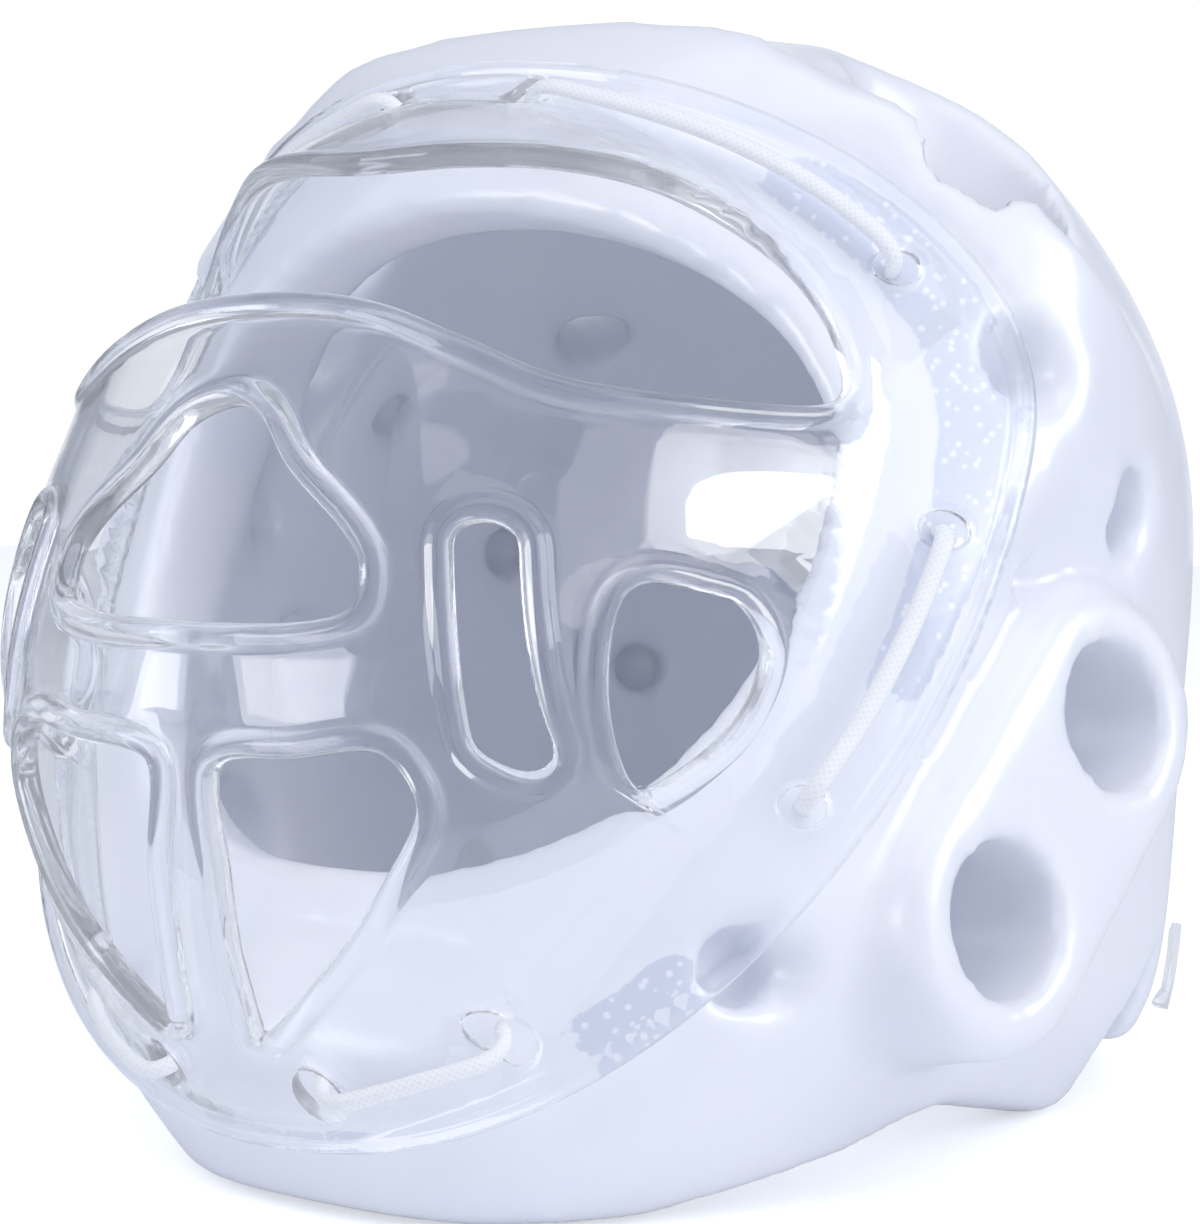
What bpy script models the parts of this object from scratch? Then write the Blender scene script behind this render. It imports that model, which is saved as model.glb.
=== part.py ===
"""Head guard of dipped foam with a clear face mask tied to its front.

Metres, +Z up. The guard lies as it rests by itself, on its chin and on the corners of its neck
flaps, leaning back by LEAN. Its face looks along -Y, and the wearer's left is +X. The pieces are
modelled in the guard's own frame, under one empty that carries the lean: x is sideways, the
second axis ("depth") runs from the face to the back, and the third ("height") runs from the chin
to the crown. Zero is the middle of the mask's rim.
"""
import math

import bmesh
import bpy
import numpy as np
from mathutils import Matrix, Vector
from mathutils.geometry import delaunay_2d_cdt

# Sizes of the mask
MASK_HEIGHT = 0.205
MASK_WIDTH = 0.212
MASK_WALL = 0.0030
DOME_DEPTH = 0.0424
RIM_SIDE_SWEEP = 0.0438
RIM_TWIST_SWEEP = 0.0161
RIM_END_SWEEP = 0.0070
LIP_WIDTH = 0.0042
LIP_RISE = 0.0012
BEAD_WIDTH = 0.0050
BEAD_RISE = 0.0013
SLOT_RADIUS = 0.0065
TIE_HOLE_RADIUS = 0.0035
TIE_RADIUS = 0.0016
TIE_LIFT = 0.0007
TIE_STEP = 0.0090

# Sizes of the foam guard
RIM_MARGIN = 0.0040
CHIN_FOLLOW = 0.65
CHIN_FOLLOW_FROM = 0.62
CHIN_FOLLOW_RUN = 0.26
SHELL_DEPTH = 0.245
BROW_BAND = 0.031
CHIN_REACH = 0.118
FOAM_WALL = 0.025
FACE_OPENING_HALF_WIDTH = 0.073
FACE_OPENING_BROW = 0.073
FACE_OPENING_CHIN = 0.053
FACE_OPENING_WIDEST = 0.030
FACE_OPENING_FLARE = 0.0045
FACE_OPENING_SQUARE = (2.0, 2.4)
BACK_OPENING_WIDTH = 0.112
BACK_OPENING_HEIGHT = 0.034
BACK_OPENING_MIDDLE = 0.067
BACK_OPENING_SQUARE = (4.5, 4.5)
CROWN_OPENING_LENGTH = 0.042
CROWN_OPENING_WIDTH = 0.034
CROWN_OPENING_X = 0.074
CROWN_OPENING_DEPTH = 0.062
CROWN_OPENING_TURN = math.radians(35.0)
FLAP_INSET = 0.004
FLAP_LINE_TOP = -0.40
FLAP_SLIT = 0.004
FLAP_SLIT_TOP = -0.30
FLAP_LINE_BLEND = 0.06
FLAP_FRONT_BLEND = 0.03

# Sizes of the ear pads
EAR_HOLE_RADIUS = 0.0142
EAR_HOLE_SPACING = 0.0501
EAR_RING_WIDTH = 0.0100
EAR_PAD_EDGE = 0.0040
EAR_PAD_DRAFT = 0.0025
EAR_PAD_HEIGHT = 0.035
EAR_POINTS = 30
HOLE_POINTS = 20
VENT_POINTS = 14

# The clear tabs at the back: wall, and height and depth shares of their edges
TAB_WALL = 0.0020
TAB_HEIGHTS = (-0.22, -0.37)
TAB_DEPTHS = (0.735, 0.79)

# Fits
PAD_SEAT_GAP = 0.0008
MASK_SEAT_GAP = 0.0008
LEAN = math.radians(16.67)
FLOOR_DROP = 0.1146

HALF_HEIGHT = MASK_HEIGHT / 2
HALF_WIDTH = MASK_WIDTH / 2
SHELL_HALF_WIDTH = HALF_WIDTH + RIM_MARGIN
CROWN_RISE = HALF_HEIGHT + BROW_BAND

# The rim's outline: two halves of a superellipse that meet at its widest height
RIM_WIDEST = 0.329
RIM_TOP_SQUARE = 2.4
RIM_CHIN_SQUARE = 2.1

# The dome over the flange, in four directions from the top round the side to the chin:
# where it leaves the flange, as a share of the rim's radius, and how square its shoulder is
DOME_EDGE = (0.926, 0.790, 0.795, 0.983)
DOME_SQUARE = (1.5, 2.6, 5.6, 2.1)
DOME_FULLNESS = 0.56
DOME_TILT = 0.08
DOME_FOOT = 0.03
SURFACE_STEP = 0.0005

# Free corners of the mask's mesh: share of the rim's radius, and how many on that round. None
# comes nearer than the clearance to a corner of a bead
DOME_POINTS = (
    (0.08, 8), (0.22, 14), (0.38, 20), (0.53, 26), (0.66, 32), (0.745, 32), (0.81, 36), (0.87, 36))
DOME_CLEARANCE = 0.0036

# Openings of the mask, +X half, as shares of its half width and half height
WINDOW_OUTLINE = (
    (0.00, 0.702), (0.18, 0.722), (0.34, 0.741), (0.47, 0.732), (0.60, 0.673),
    (0.69, 0.595), (0.745, 0.498), (0.764, 0.40), (0.726, 0.332), (0.632, 0.283),
    (0.49, 0.263), (0.35, 0.302), (0.19, 0.351), (0.00, 0.371))
NOSE_OUTLINE = (
    (0.00, 0.205), (0.085, 0.166), (0.16, 0.078), (0.264, -0.01), (0.311, -0.08),
    (0.302, -0.166), (0.198, -0.205), (0.00, -0.215))
MOUTH_OUTLINE = (
    (0.050, -0.405), (0.217, -0.371), (0.358, -0.346), (0.42, -0.43), (0.377, -0.546),
    (0.274, -0.693), (0.094, -0.84), (0.062, -0.74), (0.055, -0.585))
SLOT_ENDS = ((0.458, -0.020), (0.514, -0.312))
CHEEK_OUTLINE = (
    (0.604, -0.098), (0.623, -0.02), (0.67, 0.01), (0.726, 0.00), (0.745, -0.078),
    (0.708, -0.224), (0.632, -0.351), (0.608, -0.273))

# A tie's end, from its hole outwards: distance along in hole radii, depth in the hole in walls of
# the mask, lift off the flange as a share of the tie's own
TIE_END = (
    (0.0, -1.0, 0.0), (0.05, 0.0, 0.0), (0.3, 0.0, 1.0), (0.9, 0.0, 1.3), (1.9, 0.0, 1.15))

# Ties on the flange: name, first hole and second hole, in the same shares
TIES = (
    ("brow", (0.142, 0.917), (0.764, 0.683)),
    ("cheek", (0.906, 0.215), (0.792, -0.302)),
    ("chin", (0.156, -0.898), (0.425, -0.761)))

# Sections of the guard's outer form. The height is a share of the crown's rise above zero and of
# the chin's reach below it, the half width a share of the shell's, and the others of its depth.
# Columns: height, half width, front, widest, back, squareness in front, squareness behind
SECTIONS = (
    (-1.00, 0.42, 0.12, 0.45, 0.740, 2.4, 2.4),
    (-0.90, 0.54, 0.05, 0.49, 0.820, 2.5, 2.5),
    (-0.78, 0.67, -0.01, 0.53, 0.885, 2.7, 2.6),
    (-0.64, 0.78, -0.04, 0.56, 0.930, 2.9, 2.7),
    (-0.42, 0.89, -0.06, 0.56, 0.985, 3.0, 2.8),
    (-0.17, 0.955, -0.065, 0.48, 1.000, 2.9, 2.5),
    (0.08, 0.982, -0.065, 0.41, 1.000, 2.8, 2.3),
    (0.30, 1.00, -0.06, 0.38, 0.992, 2.8, 2.2),
    (0.49, 0.985, -0.03, 0.38, 0.963, 2.8, 2.2),
    (0.64, 0.925, 0.01, 0.38, 0.910, 2.8, 2.2),
    (0.77, 0.825, 0.05, 0.385, 0.838, 2.8, 2.2),
    (0.85, 0.745, 0.09, 0.39, 0.780, 2.7, 2.2),
    (0.91, 0.65, 0.135, 0.395, 0.718, 2.5, 2.2),
    (0.96, 0.52, 0.21, 0.40, 0.632, 2.3, 2.1),
    (0.99, 0.33, 0.295, 0.40, 0.530, 2.1, 2.0),
    (1.00, 0.03, 0.38, 0.40, 0.425, 2.0, 2.0))

# Heights at which the shell's rings lie, as shares like those of the sections
RING_HEIGHTS = (
    -1.00, -0.90, -0.80, -0.70, -0.59, -0.47, -0.34, -0.20, -0.04, 0.13, 0.29, 0.44, 0.57,
    0.68, 0.78, 0.86, 0.92, 0.96, 0.985, 1.00)
RING_POINTS = 44
FACE_POINTS = 36
BACK_POINTS = 24
CROWN_POINTS = 18

# Lower edge of the guard in side view, chin to neck: depth as a share of the shell's depth,
# height as a share of the chin's reach
LOWER_EDGE = (
    (-0.10, -0.86), (0.03, -0.90), (0.07, -0.94), (0.17, -0.94), (0.25, -0.83), (0.35, -0.72),
    (0.40, -0.655), (0.42, -0.635), (0.69, -0.605))
REAR_FLAP_EDGE = ((0.70, -0.455), (0.93, -0.425), (1.05, -0.40))
JAW_LINE = ((0.35, -0.72), (0.52, -0.50))

# Round vents: name, depth share, height share of the crown's rise or the chin's reach, radius,
# and where they start and end in the wall, as shares of it from its outer face inwards
VENTS = (
    ("temple", 0.233, 0.430, 0.0068, -0.4, 0.4),
    ("side", 0.396, 0.315, 0.0076, -0.4, 0.4),
    ("jaw", 0.131, -0.500, 0.0072, -0.4, 0.4),
    ("dimple", 0.294, 0.165, 0.0035, -0.4, 0.2),
    ("crown", 0.620, 0.862, 0.0070, -0.4, 1.6),
    ("inner_temple", 0.466, 0.592, 0.0060, 0.6, 1.6),
    ("inner_front", 0.280, 0.274, 0.0055, 0.6, 1.6),
    ("inner_side", 0.705, 0.410, 0.0060, 0.6, 1.6),
    ("inner_back", 0.887, 0.230, 0.0060, 0.6, 1.6),
    ("inner_neck", 0.762, -0.270, 0.0060, 0.6, 1.6))

# Middle of the head's hollow, which the walls and vents point at: depth share, height share
CORE_DEPTH = 0.42
CORE_HEIGHT = 0.04

# Ear pads: the middle of the +X pad's face, how far the face looks forwards and upwards, and how
# far the row of holes leans back
EAR_MIDDLE = (0.1100, 0.0775, -0.0205)
EAR_PAD_TURN = math.radians(20.0)
EAR_PAD_TILT = math.radians(4.3)
EAR_ROW_LEAN = math.radians(30.7)

# The pad's side wall, from its foot in the shell to its face: out of the face, outline's growth
EAR_LEVELS = (
    (-EAR_PAD_HEIGHT, EAR_PAD_DRAFT),
    (-2.2 * EAR_PAD_EDGE, 0.3 * EAR_PAD_DRAFT),
    (-0.8 * EAR_PAD_EDGE, -0.15 * EAR_PAD_EDGE),
    (0.0, -1.1 * EAR_PAD_EDGE))


def soft_max(first, second, blend):
    """The larger of two values, with a rounded change-over."""
    return (first + second + np.sqrt((first - second) ** 2 + blend ** 2)) / 2


def smooth_row(table, key):
    """A table's row at a key between its rows, with the columns run through smoothly."""
    rows = np.array(table)
    keys = rows[:, 0]
    index = int(np.clip(np.searchsorted(keys, key) - 1, 0, len(keys) - 2))
    span = keys[index + 1] - keys[index]
    part = (key - keys[index]) / span
    low, high = rows[index, 1:], rows[index + 1, 1:]
    before = rows[max(index - 1, 0), 1:]
    after = rows[min(index + 2, len(keys) - 1), 1:]
    low_slope = (high - before) / (keys[index + 1] - keys[max(index - 1, 0)]) * span
    high_slope = (after - low) / (keys[min(index + 2, len(keys) - 1)] - keys[index]) * span
    return ((2 * part ** 3 - 3 * part ** 2 + 1) * low + (part ** 3 - 2 * part ** 2 + part) * low_slope
            + (3 * part ** 2 - 2 * part ** 3) * high + (part ** 3 - part ** 2) * high_slope)


def closed_curve(points, steps):
    """A smooth closed curve through a few points, as steps points for each stretch."""
    knots = np.array(points)
    count = len(knots)
    curve = []
    for index in range(count):
        before, low, high, after = (knots[(index + shift) % count] for shift in (-1, 0, 1, 2))
        for step in range(steps):
            t = step / steps
            curve.append(0.5 * (2 * low + (high - before) * t
                                + (2 * before - 5 * low + 4 * high - after) * t ** 2
                                + (3 * low - before - 3 * high + after) * t ** 3))
    return np.array(curve)


def mask_points(shares, mirror):
    """Outline points in metres. With mirror, a half outline gets its other half."""
    points = [(x * HALF_WIDTH, height * HALF_HEIGHT) for x, height in shares]
    if mirror:
        points += [(-x, height) for x, height in reversed(points[1:-1])]
    return points


def rim_radius(angle):
    """Distance of the rim from zero, at an angle from straight up."""
    widest = RIM_WIDEST * HALF_HEIGHT
    low, high = 0.0, MASK_HEIGHT
    for _ in range(40):
        radius = (low + high) / 2
        x = radius * abs(math.sin(angle))
        height = radius * math.cos(angle) - widest
        reach = HALF_HEIGHT - widest if height > 0 else HALF_HEIGHT + widest
        square = RIM_TOP_SQUARE if height > 0 else RIM_CHIN_SQUARE
        inside = (x / HALF_WIDTH) ** square + (abs(height) / reach) ** square < 1
        low, high = (radius, high) if inside else (low, radius)
    return radius


def flange_depth(x, height):
    """Depth of the mask's flange, which wraps back at the sides, the brow and the chin."""
    across, up = x / HALF_WIDTH, height / HALF_HEIGHT
    return (RIM_SIDE_SWEEP + RIM_TWIST_SWEEP * up) * across ** 2 + RIM_END_SWEEP * up ** 2


def dome_rise(x, height):
    """How far the dome stands in front of the flange."""
    angle = math.atan2(abs(x), height)
    share = math.hypot(x, height) / rim_radius(angle)
    place = min(angle / math.pi * 3, 2.9999)
    index = int(place)
    part = (place - index) ** 2 * (3 - 2 * (place - index))
    edge = DOME_EDGE[index] * (1 - part) + DOME_EDGE[index + 1] * part
    square = DOME_SQUARE[index] * (1 - part) + DOME_SQUARE[index + 1] * part
    foot = float(soft_max(1 - (share / edge) ** square, 0.0, DOME_FOOT))
    level = (foot + DOME_FOOT) ** DOME_FULLNESS - DOME_FOOT ** DOME_FULLNESS
    full = (1 + DOME_FOOT) ** DOME_FULLNESS - DOME_FOOT ** DOME_FULLNESS
    return DOME_DEPTH * level / full * (1 + DOME_TILT * height / HALF_HEIGHT)


def dome_depth(x, height):
    """Depth of the mask's outer face."""
    return flange_depth(x, height) - dome_rise(x, height)


def dome_normal(x, height):
    """Unit vector out of the mask's outer face."""
    step = SURFACE_STEP
    slope_x = (dome_depth(x + step, height) - dome_depth(x - step, height)) / (2 * step)
    slope_up = (dome_depth(x, height + step) - dome_depth(x, height - step)) / (2 * step)
    return Vector((slope_x, -1.0, slope_up)).normalized()


def foam_front(x, height):
    """Depth of the foam's front face: the flange's own curve, and the dome's at the chin."""
    across = x / HALF_WIDTH
    up = height / HALF_HEIGHT
    slope_x = 2 * (RIM_SIDE_SWEEP + RIM_TWIST_SWEEP * up) * across / HALF_WIDTH
    slope_up = (RIM_TWIST_SWEEP * across ** 2 + 2 * RIM_END_SWEEP * up) / HALF_HEIGHT
    seat = (MASK_WALL + MASK_SEAT_GAP) * math.sqrt(1 + slope_x ** 2 + slope_up ** 2)
    chin_share = CHIN_FOLLOW * min(max((-up - CHIN_FOLLOW_FROM) / CHIN_FOLLOW_RUN, 0.0), 1.0)
    inside = math.hypot(x, height) < rim_radius(math.atan2(abs(x), height))
    rise = dome_rise(x, height) if inside else 0.0
    return flange_depth(x, height) + seat - chin_share * rise


def height_of(share):
    """Height in metres of a section's height share."""
    return share * (CROWN_RISE if share > 0 else CHIN_REACH)


def section_point(share, turn, grow=0.0):
    """Point of the guard's outer form. turn runs from the face (0) round the +X side."""
    half_width, front, widest, back, front_square, back_square = smooth_row(SECTIONS, share)
    across, along = math.sin(turn), math.cos(turn)
    square = front_square if along > 0 else back_square
    reach = (widest - front) if along > 0 else (widest - back)
    x = SHELL_HALF_WIDTH * half_width * math.copysign(abs(across) ** (2 / square), across)
    depth = SHELL_DEPTH * (widest - reach * abs(along) ** (2 / square))
    height = height_of(share)
    if along > 0:
        depth = float(soft_max(depth, foam_front(x, height), 0.006))
    core = core_point(height)
    point = Vector((x, depth, height))
    away = point - core
    return core + away * (1 + grow / max(away.length, 0.001))


def core_point(height):
    """What a wall at this height faces: the hollow's middle, or the neck's axis below it."""
    return Vector((0.0, CORE_DEPTH * SHELL_DEPTH, min(height, CORE_HEIGHT * CROWN_RISE)))


def flap_relief(point):
    """How far the neck flaps' outer face lies in from the jaw's, behind and below the jaw line."""
    (front_depth, front_height), (rear_depth, rear_height) = JAW_LINE
    depth = point.y / SHELL_DEPTH
    height = point.z / CHIN_REACH
    part = (depth - front_depth) / (rear_depth - front_depth)
    line = min(front_height + (rear_height - front_height) * part, FLAP_LINE_TOP)
    below = min(max((line - height) / FLAP_LINE_BLEND, 0.0), 1.0)
    behind = min(max((depth - front_depth) / FLAP_FRONT_BLEND, 0.0), 1.0)
    return FLAP_INSET * below * behind


def material(name, color, roughness, alpha=1.0, transmission=0.0):
    """A Principled material, whose colour is also the viewport's."""
    slot = bpy.data.materials.new(name)
    slot.use_nodes = True
    shader = slot.node_tree.nodes["Principled BSDF"]
    shader.inputs["Base Color"].default_value = (*color, 1.0)
    shader.inputs["Roughness"].default_value = roughness
    shader.inputs["Alpha"].default_value = alpha
    shader.inputs["Transmission Weight"].default_value = transmission
    slot.diffuse_color = (*color, alpha)
    return slot


def add_mesh(name, mesh_data, slot, parent):
    """An object from a bmesh, under the lean's empty, with its faces turned outwards."""
    bmesh.ops.recalc_face_normals(mesh_data, faces=mesh_data.faces)
    mesh = bpy.data.meshes.new(name)
    mesh_data.to_mesh(mesh)
    mesh_data.free()
    item = bpy.data.objects.new(name, mesh)
    bpy.context.scene.collection.objects.link(item)
    item.parent = parent
    if slot is not None:
        mesh.materials.append(slot)
    return item


def hide_cutter(item):
    """Cutters stay out of the build and show as wires."""
    item.hide_render = True
    item.display_type = "WIRE"


def cut(item, cutter, operation="DIFFERENCE"):
    """A boolean between an object and a cutter."""
    modifier = item.modifiers.new(cutter.name, "BOOLEAN")
    modifier.operation = operation
    modifier.object = cutter
    hide_cutter(cutter)


def prism(mesh_data, outline, move_near, move_far):
    """A closed prism between two placings of one outline, each a function of its points."""
    near = [mesh_data.verts.new(move_near(a, b)) for a, b in outline]
    far = [mesh_data.verts.new(move_far(a, b)) for a, b in outline]
    count = len(outline)
    mesh_data.faces.new(near)
    mesh_data.faces.new(list(reversed(far)))
    for index in range(count):
        after = (index + 1) % count
        mesh_data.faces.new((near[after], near[index], far[index], far[after]))


def body_rings(grow, relieved):
    """Rings of the outer form, grown outwards or inset, as lists of points."""
    rings = []
    for share in RING_HEIGHTS:
        ring = []
        for step in range(RING_POINTS):
            turn = 2 * math.pi * step / RING_POINTS
            point = section_point(share, turn, grow)
            if relieved:
                point = section_point(share, turn, grow - flap_relief(point))
            ring.append(point)
        rings.append(ring)
    return rings


def skin(mesh_data, rings):
    """Quads between rings of vertices. The last ring closes on a point."""
    loops = [[mesh_data.verts.new(point) for point in ring] for ring in rings[:-1]]
    apex = mesh_data.verts.new(sum(rings[-1], Vector()) / len(rings[-1]))
    count = len(loops[0])
    for lower, upper in zip(loops, loops[1:]):
        for index in range(count):
            after = (index + 1) % count
            mesh_data.faces.new((lower[index], lower[after], upper[after], upper[index]))
    for index in range(count):
        mesh_data.faces.new((loops[-1][index], loops[-1][(index + 1) % count], apex))
    return loops[0]


def superellipse(half_width, top, bottom, middle, squares, count):
    """Closed outline with its own reach and squareness above and below its widest height."""
    points = []
    for step in range(count):
        turn = 2 * math.pi * step / count
        across, up = math.sin(turn), math.cos(turn)
        reach = top - middle if up > 0 else middle + bottom
        square = squares[0] if up > 0 else squares[1]
        points.append((half_width * math.copysign(abs(across) ** (2 / square), across),
                       middle + reach * math.copysign(abs(up) ** (2 / square), up)))
    return points


def build_shell(frame, slot):
    """The foam guard: one hollow wall, open at the face, neck, back and crown."""
    mesh_data = bmesh.new()
    outer = skin(mesh_data, body_rings(0.0, True))
    inner = skin(mesh_data, body_rings(-FOAM_WALL, False))
    for index in range(RING_POINTS):
        after = (index + 1) % RING_POINTS
        mesh_data.faces.new((outer[index], outer[after], inner[after], inner[index]))
    shell = add_mesh("foam_shell", mesh_data, slot, frame)

    lower = bmesh.new()
    edge = [(depth * SHELL_DEPTH, height * CHIN_REACH) for depth, height in LOWER_EDGE]
    rear = [(depth * SHELL_DEPTH, height * CHIN_REACH) for depth, height in REAR_FLAP_EDGE]
    slit_top = FLAP_SLIT_TOP * CHIN_REACH
    slit_front = edge[-1][0]
    slit_rear = slit_front + FLAP_SLIT
    slit = [(slit_front, slit_top), (slit_rear, slit_top), (slit_rear, rear[0][1])]
    below = -1.6 * CHIN_REACH
    outline = edge + slit + rear[1:] + [(rear[-1][0], below), (edge[0][0], below)]
    prism(lower, outline,
          lambda depth, height: (-1.5 * SHELL_HALF_WIDTH, depth, height),
          lambda depth, height: (1.5 * SHELL_HALF_WIDTH, depth, height))
    cut(shell, add_mesh("cut_lower_edge", lower, None, frame))

    floor = bmesh.new()
    below_floor = Matrix.Translation((0.0, SHELL_DEPTH / 2, -FLOOR_DROP - SHELL_DEPTH))
    bmesh.ops.create_cube(floor, size=2 * SHELL_DEPTH, matrix=below_floor)
    floor_box = add_mesh("cut_floor", floor, None, frame)
    floor_box.rotation_euler = (LEAN, 0.0, 0.0)
    cut(shell, floor_box)

    face = bmesh.new()
    flare = FACE_OPENING_FLARE
    front_outline = superellipse(FACE_OPENING_HALF_WIDTH - flare, FACE_OPENING_BROW - flare,
                                 FACE_OPENING_CHIN - flare, FACE_OPENING_WIDEST,
                                 FACE_OPENING_SQUARE, FACE_POINTS)
    back_outline = superellipse(FACE_OPENING_HALF_WIDTH + flare, FACE_OPENING_BROW + 2 * flare,
                                FACE_OPENING_CHIN + flare, FACE_OPENING_WIDEST,
                                FACE_OPENING_SQUARE, FACE_POINTS)
    near = [face.verts.new((x, -0.12 * SHELL_DEPTH, height)) for x, height in front_outline]
    far = [face.verts.new((x, 0.30 * SHELL_DEPTH, height)) for x, height in back_outline]
    face.faces.new(near)
    face.faces.new(list(reversed(far)))
    for index in range(len(near)):
        after = (index + 1) % len(near)
        face.faces.new((near[after], near[index], far[index], far[after]))
    cut(shell, add_mesh("cut_face", face, None, frame))

    back = bmesh.new()
    rise = BACK_OPENING_HEIGHT / 2
    back_shape = superellipse(BACK_OPENING_WIDTH / 2, BACK_OPENING_MIDDLE + rise,
                              rise - BACK_OPENING_MIDDLE, BACK_OPENING_MIDDLE,
                              BACK_OPENING_SQUARE, BACK_POINTS)
    prism(back, back_shape,
          lambda x, height: (x, 0.70 * SHELL_DEPTH, height),
          lambda x, height: (x, 1.20 * SHELL_DEPTH, height))
    cut(shell, add_mesh("cut_back", back, None, frame))

    for side in (1, -1):
        crown = bmesh.new()
        shape = []
        for step in range(CROWN_POINTS):
            turn = 2 * math.pi * step / CROWN_POINTS
            along = math.cos(turn) * CROWN_OPENING_LENGTH / 2
            across = math.sin(turn) * CROWN_OPENING_WIDTH / 2
            x = (CROWN_OPENING_X + along * math.cos(CROWN_OPENING_TURN)
                 - across * math.sin(CROWN_OPENING_TURN))
            depth = (CROWN_OPENING_DEPTH + along * math.sin(CROWN_OPENING_TURN)
                     + across * math.cos(CROWN_OPENING_TURN))
            shape.append((side * x, depth))
        prism(crown, shape,
              lambda x, depth: (x, depth, 0.50 * CROWN_RISE),
              lambda x, depth: (x, depth, 1.30 * CROWN_RISE))
        cut(shell, add_mesh(f"cut_crown_{side}", crown, None, frame))

        for vent in VENTS:
            cut(shell, vent_cutter(vent, side, frame))
        for index in (0, 1):
            cut(shell, ear_hole_cutter("foam_shell", index, side, frame))
    return shell


def surface_turn(share, depth):
    """The turn at which a section reaches a depth on its +X side."""
    low, high = 0.05, math.pi - 0.05
    for _ in range(40):
        turn = (low + high) / 2
        if section_point(share, turn).y < depth:
            low = turn
        else:
            high = turn
    return turn


def vent_cutter(vent, side, frame):
    """A round cutter through part of the wall, pointing at the hollow's middle."""
    name, depth_share, height_share, radius, start, end = vent
    turn = surface_turn(height_share, depth_share * SHELL_DEPTH)
    point = section_point(height_share, turn)
    inward = (core_point(point.z) - point).normalized()
    middle = point + inward * (FOAM_WALL * (start + end) / 2)
    place = Vector((side * middle.x, middle.y, middle.z))
    axis = Vector((side * inward.x, inward.y, inward.z))
    mesh_data = bmesh.new()
    turned = Matrix.Translation(place) @ axis.to_track_quat("Z", "Y").to_matrix().to_4x4()
    bmesh.ops.create_cone(mesh_data, cap_ends=True, segments=VENT_POINTS, radius1=radius,
                          radius2=radius, depth=FOAM_WALL * (end - start), matrix=turned)
    return add_mesh(f"cut_{name}_{side}", mesh_data, None, frame)


def ear_point(along, across, out):
    """A point of the +X ear pad: along its row of holes, across it to the back, and out of it."""
    turn, tilt = EAR_PAD_TURN, EAR_PAD_TILT
    normal = Vector((math.cos(turn) * math.cos(tilt), -math.sin(turn) * math.cos(tilt), math.sin(tilt)))
    back = Vector((math.sin(turn), math.cos(turn), 0.0))
    up = normal.cross(back)
    row = up * math.cos(EAR_ROW_LEAN) + back * math.sin(EAR_ROW_LEAN)
    side = back * math.cos(EAR_ROW_LEAN) - up * math.sin(EAR_ROW_LEAN)
    return Vector(EAR_MIDDLE) + row * along + side * across + normal * out


def ear_hole_cutter(owner, index, side, frame):
    """A round cutter along one ear hole, from outside the pad to the hollow."""
    along = EAR_HOLE_SPACING * (0.5 - index)
    near = ear_point(along, 0.0, 0.5 * EAR_PAD_HEIGHT)
    far = ear_point(along, 0.0, -1.6 * EAR_PAD_HEIGHT)
    near.x, far.x = side * near.x, side * far.x
    mesh_data = bmesh.new()
    turned = (Matrix.Translation((near + far) / 2)
              @ (near - far).to_track_quat("Z", "Y").to_matrix().to_4x4())
    bmesh.ops.create_cone(mesh_data, cap_ends=True, segments=HOLE_POINTS, radius1=EAR_HOLE_RADIUS,
                          radius2=EAR_HOLE_RADIUS, depth=(near - far).length, matrix=turned)
    return add_mesh(f"cut_ear_hole_{index}_{owner}_{side}", mesh_data, None, frame)


def ear_outline(grow):
    """The pad's outline, two half rounds joined by straight sides: along and across the row."""
    radius = EAR_HOLE_RADIUS + EAR_RING_WIDTH + grow
    half = EAR_HOLE_SPACING / 2
    points = []
    for step in range(EAR_POINTS):
        turn = 2 * math.pi * (step + 0.5) / EAR_POINTS
        along, across = math.cos(turn), math.sin(turn)
        reach = radius / abs(across)
        if reach * abs(along) > half:
            reach = half * abs(along) + math.sqrt(radius ** 2 - (half * across) ** 2)
        points.append((reach * along, reach * across))
    return points


def build_ear_pad(side, frame, slot, body):
    """A raised oval pad round two ear holes, seated on the shell's own curve."""
    name = "ear_pad_left" if side > 0 else "ear_pad_right"
    mesh_data = bmesh.new()
    loops = []
    for out, grow in EAR_LEVELS:
        loop = []
        for along, across in ear_outline(grow):
            place = ear_point(along, across, out)
            loop.append(mesh_data.verts.new((side * place.x, place.y, place.z)))
        loops.append(loop)
    for lower, upper in zip(loops, loops[1:]):
        for index in range(EAR_POINTS):
            after = (index + 1) % EAR_POINTS
            mesh_data.faces.new((lower[index], lower[after], upper[after], upper[index]))
    mesh_data.faces.new(list(reversed(loops[0])))
    mesh_data.faces.new(loops[-1])
    pad = add_mesh(name, mesh_data, slot, frame)
    cut(pad, body)
    for index in (0, 1):
        cut(pad, ear_hole_cutter(name, index, side, frame))
    return pad


def offset_outline(outline, distance):
    """An outline of the mask grown on the dome's face by a distance, or shrunk if negative."""
    points = np.array(outline)
    ahead, behind = np.roll(points, -1, 0), np.roll(points, 1, 0)
    along = ahead - behind
    normals = np.stack([along[:, 1], -along[:, 0]], 1)
    normals /= np.linalg.norm(normals, axis=1)[:, None]
    area = np.sum(points[:, 0] * ahead[:, 1] - ahead[:, 0] * points[:, 1])
    if area < 0:
        normals = -normals
    moved = []
    for point, normal in zip(points, normals):
        step = normal * SURFACE_STEP
        rise = (dome_depth(*(point + step)) - dome_depth(*(point - step))) / (2 * SURFACE_STEP)
        moved.append(point + normal * distance / math.sqrt(1 + rise ** 2))
    return np.array(moved)


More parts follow.
